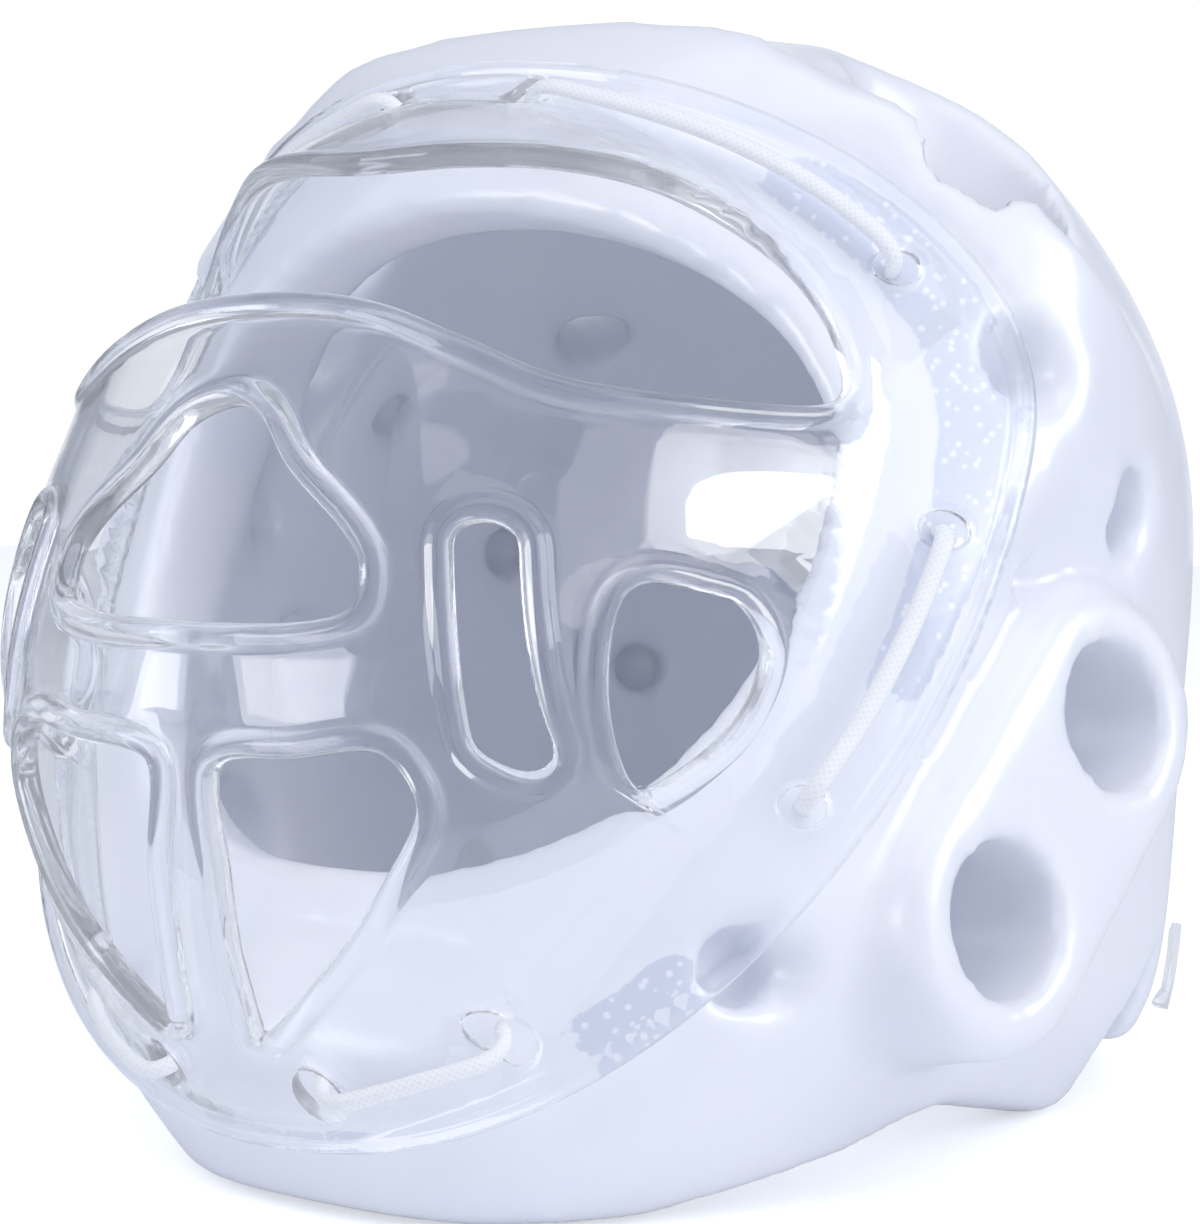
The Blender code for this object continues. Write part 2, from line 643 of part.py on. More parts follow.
def mask_openings():
    """Every opening of the mask that has a bead, as closed curves."""
    openings = [closed_curve(mask_points(WINDOW_OUTLINE, True), 2),
                closed_curve(mask_points(NOSE_OUTLINE, True), 2)]
    sides = [closed_curve(mask_points(MOUTH_OUTLINE, False), 2), slot_outline(),
             closed_curve(mask_points(CHEEK_OUTLINE, False), 2)]
    for curve in sides:
        openings.append(curve)
        openings.append(curve * np.array((-1.0, 1.0)))
    return openings


def tie_line(first, second, side):
    """Length of a tie's line between its holes, and a function that gives its points.

    The line keeps to the flange: it runs round with the rim, at a share of the rim's radius.
    """
    ends = []
    for x_share, height_share in (first, second):
        x, height = x_share * HALF_WIDTH, height_share * HALF_HEIGHT
        angle = math.atan2(x, height)
        ends.append((angle, math.hypot(x, height) / rim_radius(angle)))
    line = []
    for step in range(41):
        part = step / 40
        angle = ends[0][0] * (1 - part) + ends[1][0] * part
        radius = rim_radius(angle) * (ends[0][1] * (1 - part) + ends[1][1] * part)
        line.append((side * radius * math.sin(angle), radius * math.cos(angle)))
    line = np.array(line)
    steps = np.linalg.norm(np.diff(line, axis=0), axis=1)
    runs = np.concatenate([[0.0], np.cumsum(steps)])

    def place(along):
        return np.interp(along, runs, line[:, 0]), np.interp(along, runs, line[:, 1])

    return runs[-1], place


def tie_rests(length):
    """Distances along a tie's line at which it rests on a corner of the flange's mesh."""
    margin = 3.2 * TIE_HOLE_RADIUS
    count = max(int((length - 2 * margin) / TIE_STEP), 1) + 1
    return np.linspace(margin, length - margin, count)


def slot_outline():
    """The upright slot: two half rounds about its ends, joined by straight sides."""
    (top_x, top_height), (low_x, low_height) = mask_points(SLOT_ENDS, False)
    lean = math.atan2(low_x - top_x, top_height - low_height)
    points = []
    for centre, start in (((top_x, top_height), -math.pi / 2), ((low_x, low_height), math.pi / 2)):
        for step in range(6):
            turn = start + math.pi * step / 5 - lean
            points.append((centre[0] + SLOT_RADIUS * math.sin(turn),
                           centre[1] + SLOT_RADIUS * math.cos(turn)))
    side_steps = 4
    outline = []
    for index, point in enumerate(points):
        outline.append(point)
        if index in (5, 11):
            after = points[(index + 1) % 12]
            run = np.array(after) - np.array(point)
            outline += [tuple(np.array(point) + run * step / side_steps)
                        for step in range(1, side_steps)]
    return np.array(outline)


def tie_holes():
    """Middles of the tie holes, both sides."""
    places = [place for _, first, second in TIES for place in (first, second)]
    return [(side * x * HALF_WIDTH, height * HALF_HEIGHT) for x, height in places for side in (1, -1)]


def inside_outline(point, outline):
    """Whether a point lies inside a closed outline."""
    inside = False
    x, y = point
    for (x1, y1), (x2, y2) in zip(outline, np.roll(outline, -1, 0)):
        if (y1 > y) != (y2 > y) and x < (x2 - x1) * (y - y1) / (y2 - y1) + x1:
            inside = not inside
    return inside


def build_mask(frame, slot):
    """The clear mask: one shell with a beaded edge round each opening and a rolled rim."""
    loops = []
    holes = []
    for opening in mask_openings():
        edge = offset_outline(opening, -BEAD_WIDTH / 2)
        holes.append(edge)
        loops += [(edge, 0.0), (opening, BEAD_RISE), (offset_outline(opening, BEAD_WIDTH / 2), 0.0)]
    for x, height in tie_holes():
        turns = np.arange(8) * math.pi / 4
        ring = np.stack([x + TIE_HOLE_RADIUS * np.sin(turns),
                         height + TIE_HOLE_RADIUS * np.cos(turns)], 1)
        holes.append(ring)
        loops.append((ring, 0.0))
    turns = np.linspace(0, 2 * math.pi, 64, endpoint=False)
    rim = np.array([(rim_radius(turn) * math.sin(turn), rim_radius(turn) * math.cos(turn))
                    for turn in turns])
    shrink = 1 - np.array([0.0, LIP_WIDTH / 2, LIP_WIDTH]) / HALF_HEIGHT
    loops += [(rim, 0.0), (rim * shrink[1], LIP_RISE), (rim * shrink[2], 0.0)]

    places, rises, edges = [], [], []
    for loop, rise in loops:
        first = len(places)
        places += [Vector(point) for point in loop]
        rises += [rise] * len(loop)
        edges += [(first + step, first + (step + 1) % len(loop)) for step in range(len(loop))]
    for _, first_hole, second_hole in TIES:
        for side in (1, -1):
            length, place = tie_line(first_hole, second_hole, side)
            first = len(places)
            line = [Vector(place(along)) for along in tie_rests(length)]
            places += line
            rises += [0.0] * len(line)
            edges += [(first + step, first + step + 1) for step in range(len(line) - 1)]
    fixed = np.array([tuple(point) for point in places])
    for share, count in DOME_POINTS:
        for step in range(count):
            turn = 2 * math.pi * (step + 0.5 * (count % 4 == 0)) / count
            point = np.array((math.sin(turn), math.cos(turn))) * rim_radius(turn) * share
            if np.min(np.linalg.norm(fixed - point, axis=1)) > DOME_CLEARANCE:
                places.append(Vector(point))
                rises.append(0.0)
    result = delaunay_2d_cdt(places, edges, [], 0, 1e-6, True)
    flat, triangles, origins = result[0], result[2], result[3]
    kept = []
    for triangle in triangles:
        middle = sum((flat[index] for index in triangle), Vector((0.0, 0.0))) / 3
        if not any(inside_outline(middle, hole) for hole in holes):
            kept.append(triangle)

    mesh_data = bmesh.new()
    front, back = {}, {}
    for index in sorted({index for triangle in kept for index in triangle}):
        x, height = flat[index]
        rise = rises[origins[index][0]] if origins[index] else 0.0
        normal = dome_normal(x, height)
        face = Vector((x, dome_depth(x, height), height))
        at_rim = math.hypot(x, height) > 0.95 * rim_radius(math.atan2(abs(x), height))
        front[index] = mesh_data.verts.new(face + normal * rise)
        back[index] = mesh_data.verts.new(face - normal * (MASK_WALL + (0.0 if at_rim else rise / 2)))
    borders = {}
    for a, b, c in kept:
        mesh_data.faces.new((front[a], front[b], front[c]))
        mesh_data.faces.new((back[c], back[b], back[a]))
        for pair in ((a, b), (b, c), (c, a)):
            borders[tuple(sorted(pair))] = None if tuple(sorted(pair)) in borders else pair
    for pair in borders.values():
        if pair is not None:
            a, b = pair
            mesh_data.faces.new((front[b], front[a], back[a], back[b]))
    return add_mesh("face_mask", mesh_data, slot, frame)


def tie_route(first, second, side):
    """Points of a tie: up out of one hole, over the flange, and down into the other."""
    rest = TIE_RADIUS + TIE_LIFT
    length, place = tie_line(first, second, side)
    ends = [(share * TIE_HOLE_RADIUS, sink * MASK_WALL + lift * rest) for share, sink, lift in TIE_END]
    inner = [(along, rest) for along in tie_rests(length)]
    profile = ends + inner + [(length - along, height) for along, height in reversed(ends)]
    points = []
    for along, height in profile:
        x, up = place(along)
        normal = dome_normal(x, up)
        points.append(Vector((x, dome_depth(x, up), up)) + normal * height)
    return points


def build_tie(name, first, second, side, frame, slot):
    """A white cord between two tie holes, a tube along its route."""
    curve = bpy.data.curves.new(name, "CURVE")
    curve.dimensions = "3D"
    curve.bevel_depth = TIE_RADIUS
    curve.bevel_resolution = 2
    curve.use_fill_caps = True
    points = tie_route(first, second, side)
    spline = curve.splines.new("POLY")
    spline.points.add(len(points) - 1)
    for knot, point in zip(spline.points, points):
        knot.co = (*point, 1.0)
    curve.materials.append(slot)
    item = bpy.data.objects.new(name, curve)
    bpy.context.scene.collection.objects.link(item)
    item.parent = frame
    return item


def build_back_tab(side, frame, slot, body):
    """A clear strip that lies on the foam at the rear corner, above the neck flap."""
    name = "clear_tab_left" if side > 0 else "clear_tab_right"
    mesh_data = bmesh.new()
    shares = np.linspace(*TAB_HEIGHTS, 5)
    depths = np.linspace(*TAB_DEPTHS, 4) * SHELL_DEPTH
    sheets = []
    for lift in (-TAB_WALL, PAD_SEAT_GAP + TAB_WALL):
        sheet = []
        for share in shares:
            row = [section_point(share, surface_turn(share, depth), lift) for depth in depths]
            sheet.append([mesh_data.verts.new((side * p.x, p.y, p.z)) for p in row])
        sheets.append(sheet)
    under, over = sheets
    rows, columns = len(shares), len(depths)
    for row in range(rows - 1):
        for column in range(columns - 1):
            for sheet in sheets:
                mesh_data.faces.new((sheet[row][column], sheet[row][column + 1],
                                     sheet[row + 1][column + 1], sheet[row + 1][column]))
    border = ([(0, column) for column in range(columns)]
              + [(row, columns - 1) for row in range(1, rows)]
              + [(rows - 1, column) for column in range(columns - 2, -1, -1)]
              + [(row, 0) for row in range(rows - 2, 0, -1)])
    for (row, column), (next_row, next_column) in zip(border, border[1:] + border[:1]):
        mesh_data.faces.new((under[row][column], under[next_row][next_column],
                             over[next_row][next_column], over[row][column]))
    tab = add_mesh(name, mesh_data, slot, frame)
    cut(tab, body)
    return tab


def stand_on_floor(frame, pieces):
    """Moves the empty so that the pieces stand on z = 0, with their middle over the origin."""
    graph = bpy.context.evaluated_depsgraph_get()
    corners = []
    for piece in pieces:
        shown = piece.evaluated_get(graph)
        mesh = shown.to_mesh()
        corners += [shown.matrix_world @ vertex.co for vertex in mesh.vertices]
        shown.to_mesh_clear()
    places = np.array([tuple(corner) for corner in corners])
    low, high = places.min(0), places.max(0)
    frame.location = (0.0, -(low[1] + high[1]) / 2, -low[2])


def main():
    for item in list(bpy.data.objects):
        bpy.data.objects.remove(item)
    frame = bpy.data.objects.new("lean", None)
    bpy.context.scene.collection.objects.link(frame)
    frame.rotation_euler = (-LEAN, 0.0, 0.0)

    foam = material("white_foam", (0.90, 0.91, 0.95), 0.35)
    clear = material("clear_plastic", (0.93, 0.95, 0.99), 0.03, 0.35, 1.0)
    cord = material("white_cord", (0.94, 0.95, 0.98), 0.7)

    body_mesh = bmesh.new()
    foot = skin(body_mesh, body_rings(PAD_SEAT_GAP, True))
    body_mesh.faces.new(list(reversed(foot)))
    body = add_mesh("cut_body", body_mesh, None, frame)

    pieces = [build_shell(frame, foam), build_mask(frame, clear)]
    for side, hand in ((1, "left"), (-1, "right")):
        pieces.append(build_ear_pad(side, frame, foam, body))
        pieces.append(build_back_tab(side, frame, clear, body))
        for name, first, second in TIES:
            pieces.append(build_tie(f"{name}_tie_{hand}", first, second, side, frame, cord))
    bpy.context.view_layer.update()
    stand_on_floor(frame, pieces)
    bpy.context.view_layer.update()


main()
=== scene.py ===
import math

import bmesh
import bpy
import numpy as np
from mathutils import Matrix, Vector
from mathutils.bvhtree import BVHTree
from mathutils.geometry import delaunay_2d_cdt


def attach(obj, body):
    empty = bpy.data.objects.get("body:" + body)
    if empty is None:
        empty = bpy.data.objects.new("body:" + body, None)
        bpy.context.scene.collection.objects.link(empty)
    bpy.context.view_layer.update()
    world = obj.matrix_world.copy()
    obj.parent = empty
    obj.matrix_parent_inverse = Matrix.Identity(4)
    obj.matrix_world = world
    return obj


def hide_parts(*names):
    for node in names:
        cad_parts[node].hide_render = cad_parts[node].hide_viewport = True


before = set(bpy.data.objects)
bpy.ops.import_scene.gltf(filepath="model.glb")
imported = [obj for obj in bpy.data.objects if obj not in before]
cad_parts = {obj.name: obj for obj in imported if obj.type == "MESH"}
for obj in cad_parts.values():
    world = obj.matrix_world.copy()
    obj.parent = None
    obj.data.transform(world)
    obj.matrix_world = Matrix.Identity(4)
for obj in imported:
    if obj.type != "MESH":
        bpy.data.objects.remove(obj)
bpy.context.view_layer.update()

# Camera
# A 74 mm lens a little over half a metre away, on the wearer's left and almost level with the
# mask, turned as the photograph was.
camera_data = bpy.data.cameras.new("camera")
camera_data.lens = 73.53
camera_data.sensor_width = 36.0
camera = bpy.data.objects.new("camera", camera_data)
bpy.context.scene.collection.objects.link(camera)
camera.location = (0.27255, -0.45807, 0.13157)
camera.rotation_euler = (math.radians(86.998), math.radians(-0.973), math.radians(31.526))
bpy.context.scene.camera = camera

# Floor
# A round sheet of pale laminate, lit until it runs into the white behind it.
FLOOR_RADIUS = 4.0
bpy.ops.object.select_all(action="DESELECT")
bpy.ops.mesh.primitive_circle_add(vertices=96, radius=FLOOR_RADIUS, fill_type="NGON")
floor = bpy.context.object
floor.name = "floor"
bpy.ops.object.mode_set(mode="EDIT")
bpy.ops.mesh.select_all(action="SELECT")
bpy.ops.mesh.inset(thickness=FLOOR_RADIUS / 2)
bpy.ops.object.mode_set(mode="OBJECT")
pale_floor = bpy.data.materials.new("pale_floor")
pale_floor.use_nodes = True
nodes, links = pale_floor.node_tree.nodes, pale_floor.node_tree.links
shader = nodes["Principled BSDF"]
shader.inputs["Roughness"].default_value = 0.65
shader.inputs["Emission Color"].default_value = (0.97, 0.98, 1.0, 1.0)
seen_floor = nodes.new("ShaderNodeLightPath")
glow = nodes.new("ShaderNodeMapRange")
glow.inputs["To Min"].default_value = 0.04
glow.inputs["To Max"].default_value = 0.50
links.new(seen_floor.outputs["Is Camera Ray"], glow.inputs["Value"])
links.new(glow.outputs["Result"], shader.inputs["Emission Strength"])
place = nodes.new("ShaderNodeTexCoord")
speckle = nodes.new("ShaderNodeTexNoise")
speckle.inputs["Scale"].default_value = 6.0
tint = nodes.new("ShaderNodeValToRGB")
tint.color_ramp.elements[0].color = (0.90, 0.915, 0.94, 1.0)
tint.color_ramp.elements[1].color = (0.93, 0.94, 0.96, 1.0)
links.new(place.outputs["Object"], speckle.inputs["Vector"])
links.new(speckle.outputs["Fac"], tint.inputs["Fac"])
links.new(tint.outputs["Color"], shader.inputs["Base Color"])
floor.data.materials.append(pale_floor)

# Studio light
# White surroundings, cooler and dimmer where they only light the guard, a lit backdrop, and
# three softboxes. Two panels light nothing and only show as bright windows in the mask.
world = bpy.data.worlds.new("white_studio")
world.use_nodes = True
bpy.context.scene.world = world
nodes, links = world.node_tree.nodes, world.node_tree.links
nodes.clear()
output = nodes.new("ShaderNodeOutputWorld")
seen = nodes.new("ShaderNodeBackground")
seen.inputs["Color"].default_value = (1.0, 1.0, 1.0, 1.0)
seen.inputs["Strength"].default_value = 1.05
lighting = nodes.new("ShaderNodeBackground")
lighting.inputs["Strength"].default_value = 0.50
place = nodes.new("ShaderNodeTexCoord")
height_of_ray = nodes.new("ShaderNodeSeparateXYZ")
sky = nodes.new("ShaderNodeValToRGB")
sky.color_ramp.elements[0].position = 0.30
sky.color_ramp.elements[0].color = (0.60, 0.68, 0.90, 1.0)
sky.color_ramp.elements[1].position = 0.85
sky.color_ramp.elements[1].color = (0.86, 0.91, 1.0, 1.0)
stretch = nodes.new("ShaderNodeMapRange")
stretch.inputs["From Min"].default_value = -1.0
links.new(place.outputs["Generated"], height_of_ray.inputs["Vector"])
links.new(height_of_ray.outputs["Z"], stretch.inputs["Value"])
links.new(stretch.outputs["Result"], sky.inputs["Fac"])
toward_backdrop = nodes.new("ShaderNodeVectorMath")
toward_backdrop.operation = "DOT_PRODUCT"
toward_backdrop.inputs[1].default_value = (-0.521, 0.852, 0.0)
backdrop_area = nodes.new("ShaderNodeMapRange")
backdrop_area.inputs["From Min"].default_value = 0.88
backdrop_area.inputs["From Max"].default_value = 0.92
backdrop = nodes.new("ShaderNodeMix")
backdrop.data_type = "RGBA"
backdrop.inputs["B"].default_value = (1.9, 1.95, 2.05, 1.0)
links.new(place.outputs["Generated"], toward_backdrop.inputs[0])
links.new(toward_backdrop.outputs["Value"], backdrop_area.inputs["Value"])
links.new(backdrop_area.outputs["Result"], backdrop.inputs["Factor"])
links.new(sky.outputs["Color"], backdrop.inputs["A"])
links.new(backdrop.outputs["Result"], lighting.inputs["Color"])
ray = nodes.new("ShaderNodeLightPath")
mix = nodes.new("ShaderNodeMixShader")
links.new(ray.outputs["Is Camera Ray"], mix.inputs["Fac"])
links.new(lighting.outputs["Background"], mix.inputs[1])
links.new(seen.outputs["Background"], mix.inputs[2])
links.new(mix.outputs["Shader"], output.inputs["Surface"])

for name, power, colour, width, height, spot, lights_foam in (
        ("softbox_top", 8.0, (1.0, 1.0, 1.0), 1.4, 1.0, (0.5, -0.5, 1.5), True),
        ("softbox_right", 6.0, (1.0, 1.0, 1.0), 0.9, 1.3, (1.5, -0.35, 0.65), True),
        ("softbox_left", 3.4, (0.93, 0.96, 1.0), 0.7, 1.1, (-1.3, -0.9, 0.7), True),
        ("panel_front", 7.0, (0.97, 0.98, 1.0), 0.78, 0.42, (-0.45, -1.32, 0.27), False),
        ("panel_right", 9.0, (0.97, 0.98, 1.0), 0.85, 0.60, (1.27, 0.22, 0.66), False)):
    lamp = bpy.data.lights.new(name, "AREA")
    lamp.energy = power
    lamp.color = colour
    lamp.shape = "RECTANGLE"
    lamp.size = width
    lamp.size_y = height
    holder = bpy.data.objects.new(name, lamp)
    holder.visible_camera = False
    holder.visible_diffuse = lights_foam
    bpy.context.scene.collection.objects.link(holder)
    holder.location = spot
    aim = Vector((0.0, 0.0, 0.11)) - Vector(spot)
    holder.rotation_euler = aim.to_track_quat("-Z", "Y").to_euler()
bpy.context.scene.view_settings.view_transform = "Standard"

# The clear mask
# One injection-moulded sheet of polycarbonate: a flange that lies on the foam inside a rolled
# lip, a dome, and a rounded bead round each opening. The sheet is 3 mm thick.
LEAN = math.radians(16.67)
FRAME_SHIFT = np.array((0.0, -0.0983205, 0.1146000))
HALF_HEIGHT = 0.1025
HALF_WIDTH = 0.106
MASK_WALL = 0.0030
DOME_DEPTH = 0.0424
RIM_SWEEP = (0.0438, 0.0161, 0.0070)
RIM_WIDEST = 0.329 * HALF_HEIGHT
RIM_SQUARES = (2.4, 2.1)
DOME_EDGE = np.array((0.926, 0.790, 0.795, 0.983))
DOME_SQUARE = np.array((1.5, 2.6, 5.6, 2.1))
DOME_FULLNESS = 0.56
DOME_TILT = 0.08
DOME_FOOT = 0.03
WINDOW_OUTLINE = (
    (0.00, 0.702), (0.18, 0.722), (0.34, 0.741), (0.47, 0.732), (0.60, 0.673),
    (0.69, 0.595), (0.745, 0.498), (0.764, 0.40), (0.726, 0.332), (0.632, 0.283),
    (0.49, 0.263), (0.35, 0.302), (0.19, 0.351), (0.00, 0.371))
NOSE_OUTLINE = (
    (0.00, 0.205), (0.085, 0.166), (0.16, 0.078), (0.264, -0.01), (0.311, -0.08),
    (0.302, -0.166), (0.198, -0.205), (0.00, -0.215))
MOUTH_OUTLINE = (
    (0.050, -0.405), (0.217, -0.371), (0.358, -0.346), (0.42, -0.43), (0.377, -0.546),
    (0.274, -0.693), (0.094, -0.84), (0.062, -0.74), (0.055, -0.585))
CHEEK_OUTLINE = (
    (0.604, -0.098), (0.623, -0.02), (0.67, 0.01), (0.726, 0.00), (0.745, -0.078),
    (0.708, -0.224), (0.632, -0.351), (0.608, -0.273))
SLOT_ENDS = ((0.458, -0.020), (0.514, -0.312))
SLOT_RADIUS = 0.0065
BEAD_WIDTH = 0.0050
TIE_HOLE_RADIUS = 0.0035
TIES = (
    ("brow_tie", (0.142, 0.917), (0.764, 0.683)),
    ("cheek_tie", (0.906, 0.215), (0.792, -0.302)),
    ("chin_tie", (0.156, -0.898), (0.425, -0.761)))
# For a bead, a tie hole's edge and the rolled lip: distance from the edge, rise of the front
# face, rise of the back face
BEAD_PROFILE = np.array((
    (0.0, -1.5, 1.5), (0.3, -0.1, 0.5), (0.9, 0.8, -0.05), (1.7, 1.25, -0.35), (2.5, 1.35, -0.45),
    (3.3, 1.15, -0.35), (4.1, 0.6, -0.15), (4.8, 0.12, 0.0), (5.7, 0.0, 0.0))) / 1000
TIE_PROFILE = np.array((
    (0.0, -1.5, 1.5), (0.3, -0.35, 0.35), (0.9, 0.0, 0.0), (1.8, 0.0, 0.0))) / 1000
LIP_PROFILE = np.array((
    (0.0, -1.5, 1.5), (0.3, -0.4, 0.4), (0.8, 0.55, 0.0), (1.5, 1.05, 0.0), (2.2, 1.2, 0.0),
    (2.9, 1.0, 0.0), (3.6, 0.55, 0.0), (4.4, 0.1, 0.0), (5.5, 0.0, 0.0))) / 1000
MESH_STEP = 0.0019
FREE_STEP = 0.0027
FREE_CLEARANCE = 0.0017
FREE_REACH = 0.94


def to_world(points):
    """Points of the guard's own frame, in metres, as points of the scene."""
    points = np.asarray(points, float)
    depth = points[:, 1] * math.cos(LEAN) + points[:, 2] * math.sin(LEAN)
    height = points[:, 2] * math.cos(LEAN) - points[:, 1] * math.sin(LEAN)
    return np.stack([points[:, 0], depth, height], 1) + FRAME_SHIFT


def to_guard(points):
    """Points of the scene as points of the guard's own frame."""
    points = np.asarray(points, float) - FRAME_SHIFT
    depth = points[:, 1] * math.cos(LEAN) - points[:, 2] * math.sin(LEAN)
    height = points[:, 2] * math.cos(LEAN) + points[:, 1] * math.sin(LEAN)
    return np.stack([points[:, 0], depth, height], 1)


def rim_radius(angle):
    """Distance of the mask's rim from its middle, at angles from straight up."""
    angle = np.asarray(angle, float)
    low, high = np.zeros_like(angle), np.full_like(angle, 2 * HALF_HEIGHT)
    for _ in range(40):
        radius = (low + high) / 2
        height = radius * np.cos(angle) - RIM_WIDEST
        upper = height > 0
        reach = np.where(upper, HALF_HEIGHT - RIM_WIDEST, HALF_HEIGHT + RIM_WIDEST)
        square = np.where(upper, *RIM_SQUARES)
        inside = ((radius * np.abs(np.sin(angle)) / HALF_WIDTH) ** square
                  + (np.abs(height) / reach) ** square) < 1
        low, high = np.where(inside, radius, low), np.where(inside, high, radius)
    return radius


def dome_depth(x, height):
    """Depth of the mask's outer face."""
    across, up = x / HALF_WIDTH, height / HALF_HEIGHT
    flange = (RIM_SWEEP[0] + RIM_SWEEP[1] * up) * across ** 2 + RIM_SWEEP[2] * up ** 2
    angle = np.arctan2(np.abs(x), height)
    share = np.hypot(x, height) / rim_radius(angle)
    spot = np.minimum(angle / math.pi * 3, 2.9999)
    index = spot.astype(int)
    part = (spot - index) ** 2 * (3 - 2 * (spot - index))
    edge = DOME_EDGE[index] * (1 - part) + DOME_EDGE[index + 1] * part
    square = DOME_SQUARE[index] * (1 - part) + DOME_SQUARE[index + 1] * part
    level = 1 - (share / edge) ** square
    foot = (level + np.sqrt(level ** 2 + DOME_FOOT ** 2)) / 2
    bulge = (foot + DOME_FOOT) ** DOME_FULLNESS - DOME_FOOT ** DOME_FULLNESS
    full = (1 + DOME_FOOT) ** DOME_FULLNESS - DOME_FOOT ** DOME_FULLNESS
    return flange - DOME_DEPTH * bulge / full * (1 + DOME_TILT * up)


def dome_normal(x, height):
    """Unit vectors out of the mask's outer face."""
    step = 0.0005
    slope_x = (dome_depth(x + step, height) - dome_depth(x - step, height)) / (2 * step)
    slope_up = (dome_depth(x, height + step) - dome_depth(x, height - step)) / (2 * step)
    normal = np.stack([slope_x, -np.ones_like(slope_x), slope_up], 1)
    return normal / np.linalg.norm(normal, axis=1)[:, None]


def on_dome(flat, lift=0.0):
    """Points of the mask's outer face over flat points, lifted along its normal."""
    face = np.stack([flat[:, 0], dome_depth(flat[:, 0], flat[:, 1]), flat[:, 1]], 1)
    return face + dome_normal(flat[:, 0], flat[:, 1]) * np.reshape(lift, (-1, 1))


def smooth_loop(shares, mirror):
    """A smooth closed curve in metres through an outline's few points."""
    knots = [(x * HALF_WIDTH, height * HALF_HEIGHT) for x, height in shares]
    if mirror:
        knots += [(-x, height) for x, height in reversed(knots[1:-1])]
    knots = np.array(knots)
    part = np.linspace(0, 1, 16, endpoint=False)[:, None]
    curve = []
    for index in range(len(knots)):
        before, low, high, after = (knots[(index + turn) % len(knots)] for turn in (-1, 0, 1, 2))
        curve.append(0.5 * (2 * low + (high - before) * part
                            + (2 * before - 5 * low + 4 * high - after) * part ** 2
                            + (3 * low - before - 3 * high + after) * part ** 3))
    return np.concatenate(curve)


def even_loop(points, step):
    """A closed curve's points laid out again at an even spacing on the mask's face."""
    closed = np.concatenate([points, points[:1]])
    lengths = np.linalg.norm(np.diff(on_dome(closed), axis=0), axis=1)
    runs = np.concatenate([[0], np.cumsum(lengths)])
    places = np.linspace(0, runs[-1], max(int(runs[-1] / step), 12), endpoint=False)
    return np.stack([np.interp(places, runs, column) for column in closed.T], 1)


def grown_loop(loop, distance):
    """A closed curve grown on the mask's face by a distance, or shrunk if negative."""
    ahead, behind = np.roll(loop, -1, 0), np.roll(loop, 1, 0)
    along = ahead - behind
    side = np.stack([along[:, 1], -along[:, 0]], 1)
    side /= np.linalg.norm(side, axis=1)[:, None]
    if np.sum(loop[:, 0] * ahead[:, 1] - ahead[:, 0] * loop[:, 1]) < 0:
        side = -side
    step = 0.0005
    rise = (dome_depth(*(loop + side * step).T) - dome_depth(*(loop - side * step).T)) / (2 * step)
    return loop + side * distance / np.sqrt(1 + rise ** 2)[:, None]


(top_x, top_height), (low_x, low_height) = [(x * HALF_WIDTH, height * HALF_HEIGHT)
                                            for x, height in SLOT_ENDS]
slot_lean = math.atan2(low_x - top_x, top_height - low_height)
slot_loop = []
for centre_x, centre_height, first_turn in ((top_x, top_height, -math.pi / 2),
                                            (low_x, low_height, math.pi / 2)):
    arc = first_turn + np.linspace(0, math.pi, 24) - slot_lean
    slot_loop.append(np.stack([centre_x + SLOT_RADIUS * np.sin(arc),
                               centre_height + SLOT_RADIUS * np.cos(arc)], 1))
slot_loop = np.concatenate(slot_loop)
bead_loops = [smooth_loop(WINDOW_OUTLINE, True), smooth_loop(NOSE_OUTLINE, True)]
for loop in (smooth_loop(MOUTH_OUTLINE, False), slot_loop, smooth_loop(CHEEK_OUTLINE, False)):
    bead_loops += [loop, loop * (-1.0, 1.0)]
hole_edges = [grown_loop(even_loop(loop, MESH_STEP), -BEAD_WIDTH / 2) for loop in bead_loops]
tie_spots = [(side * x * HALF_WIDTH, height * HALF_HEIGHT)
             for _, first, second in TIES for x, height in (first, second) for side in (1, -1)]
hole_turns = np.linspace(0, 2 * math.pi, 24, endpoint=False)
tie_ring = TIE_HOLE_RADIUS * np.stack([np.sin(hole_turns), np.cos(hole_turns)], 1)
tie_edges = [tie_ring + spot for spot in tie_spots]
rim_turns = np.linspace(0, 2 * math.pi, 720, endpoint=False)
rim = np.stack([rim_radius(rim_turns) * np.sin(rim_turns),
                rim_radius(rim_turns) * np.cos(rim_turns)], 1)
rim_edge = even_loop(rim, MESH_STEP)

rings = []
for edges, profile, grows in ((hole_edges, BEAD_PROFILE, 1), (tie_edges, TIE_PROFILE, 1),
                              ([rim_edge], LIP_PROFILE, -1)):
    rings += [grown_loop(edge, grows * distance) for edge in edges for distance in profile[:, 0]]
flat, seams = [], []
for ring in rings:
    first = sum(len(part) for part in flat)
    flat.append(ring)
    seams += [(first + step, first + (step + 1) % len(ring)) for step in range(len(ring))]
flat = np.concatenate(flat)
rows = np.arange(-HALF_HEIGHT, HALF_HEIGHT, FREE_STEP * math.sqrt(0.75))
free = np.array([(x + (number % 2) * FREE_STEP / 2, height) for number, height in enumerate(rows)
                 for x in np.arange(-HALF_WIDTH, HALF_WIDTH, FREE_STEP)])
free = free[np.hypot(*free.T) < rim_radius(np.arctan2(free[:, 0], free[:, 1])) * FREE_REACH]
clear_of = np.min(np.linalg.norm(free[:, None, :] - flat[None, ::2, :], axis=2), axis=1)
free = free[clear_of > FREE_CLEARANCE]
points = [Vector(point) for point in np.concatenate([flat, free])]
result = delaunay_2d_cdt(points, seams, [], 0, 1e-7, False)
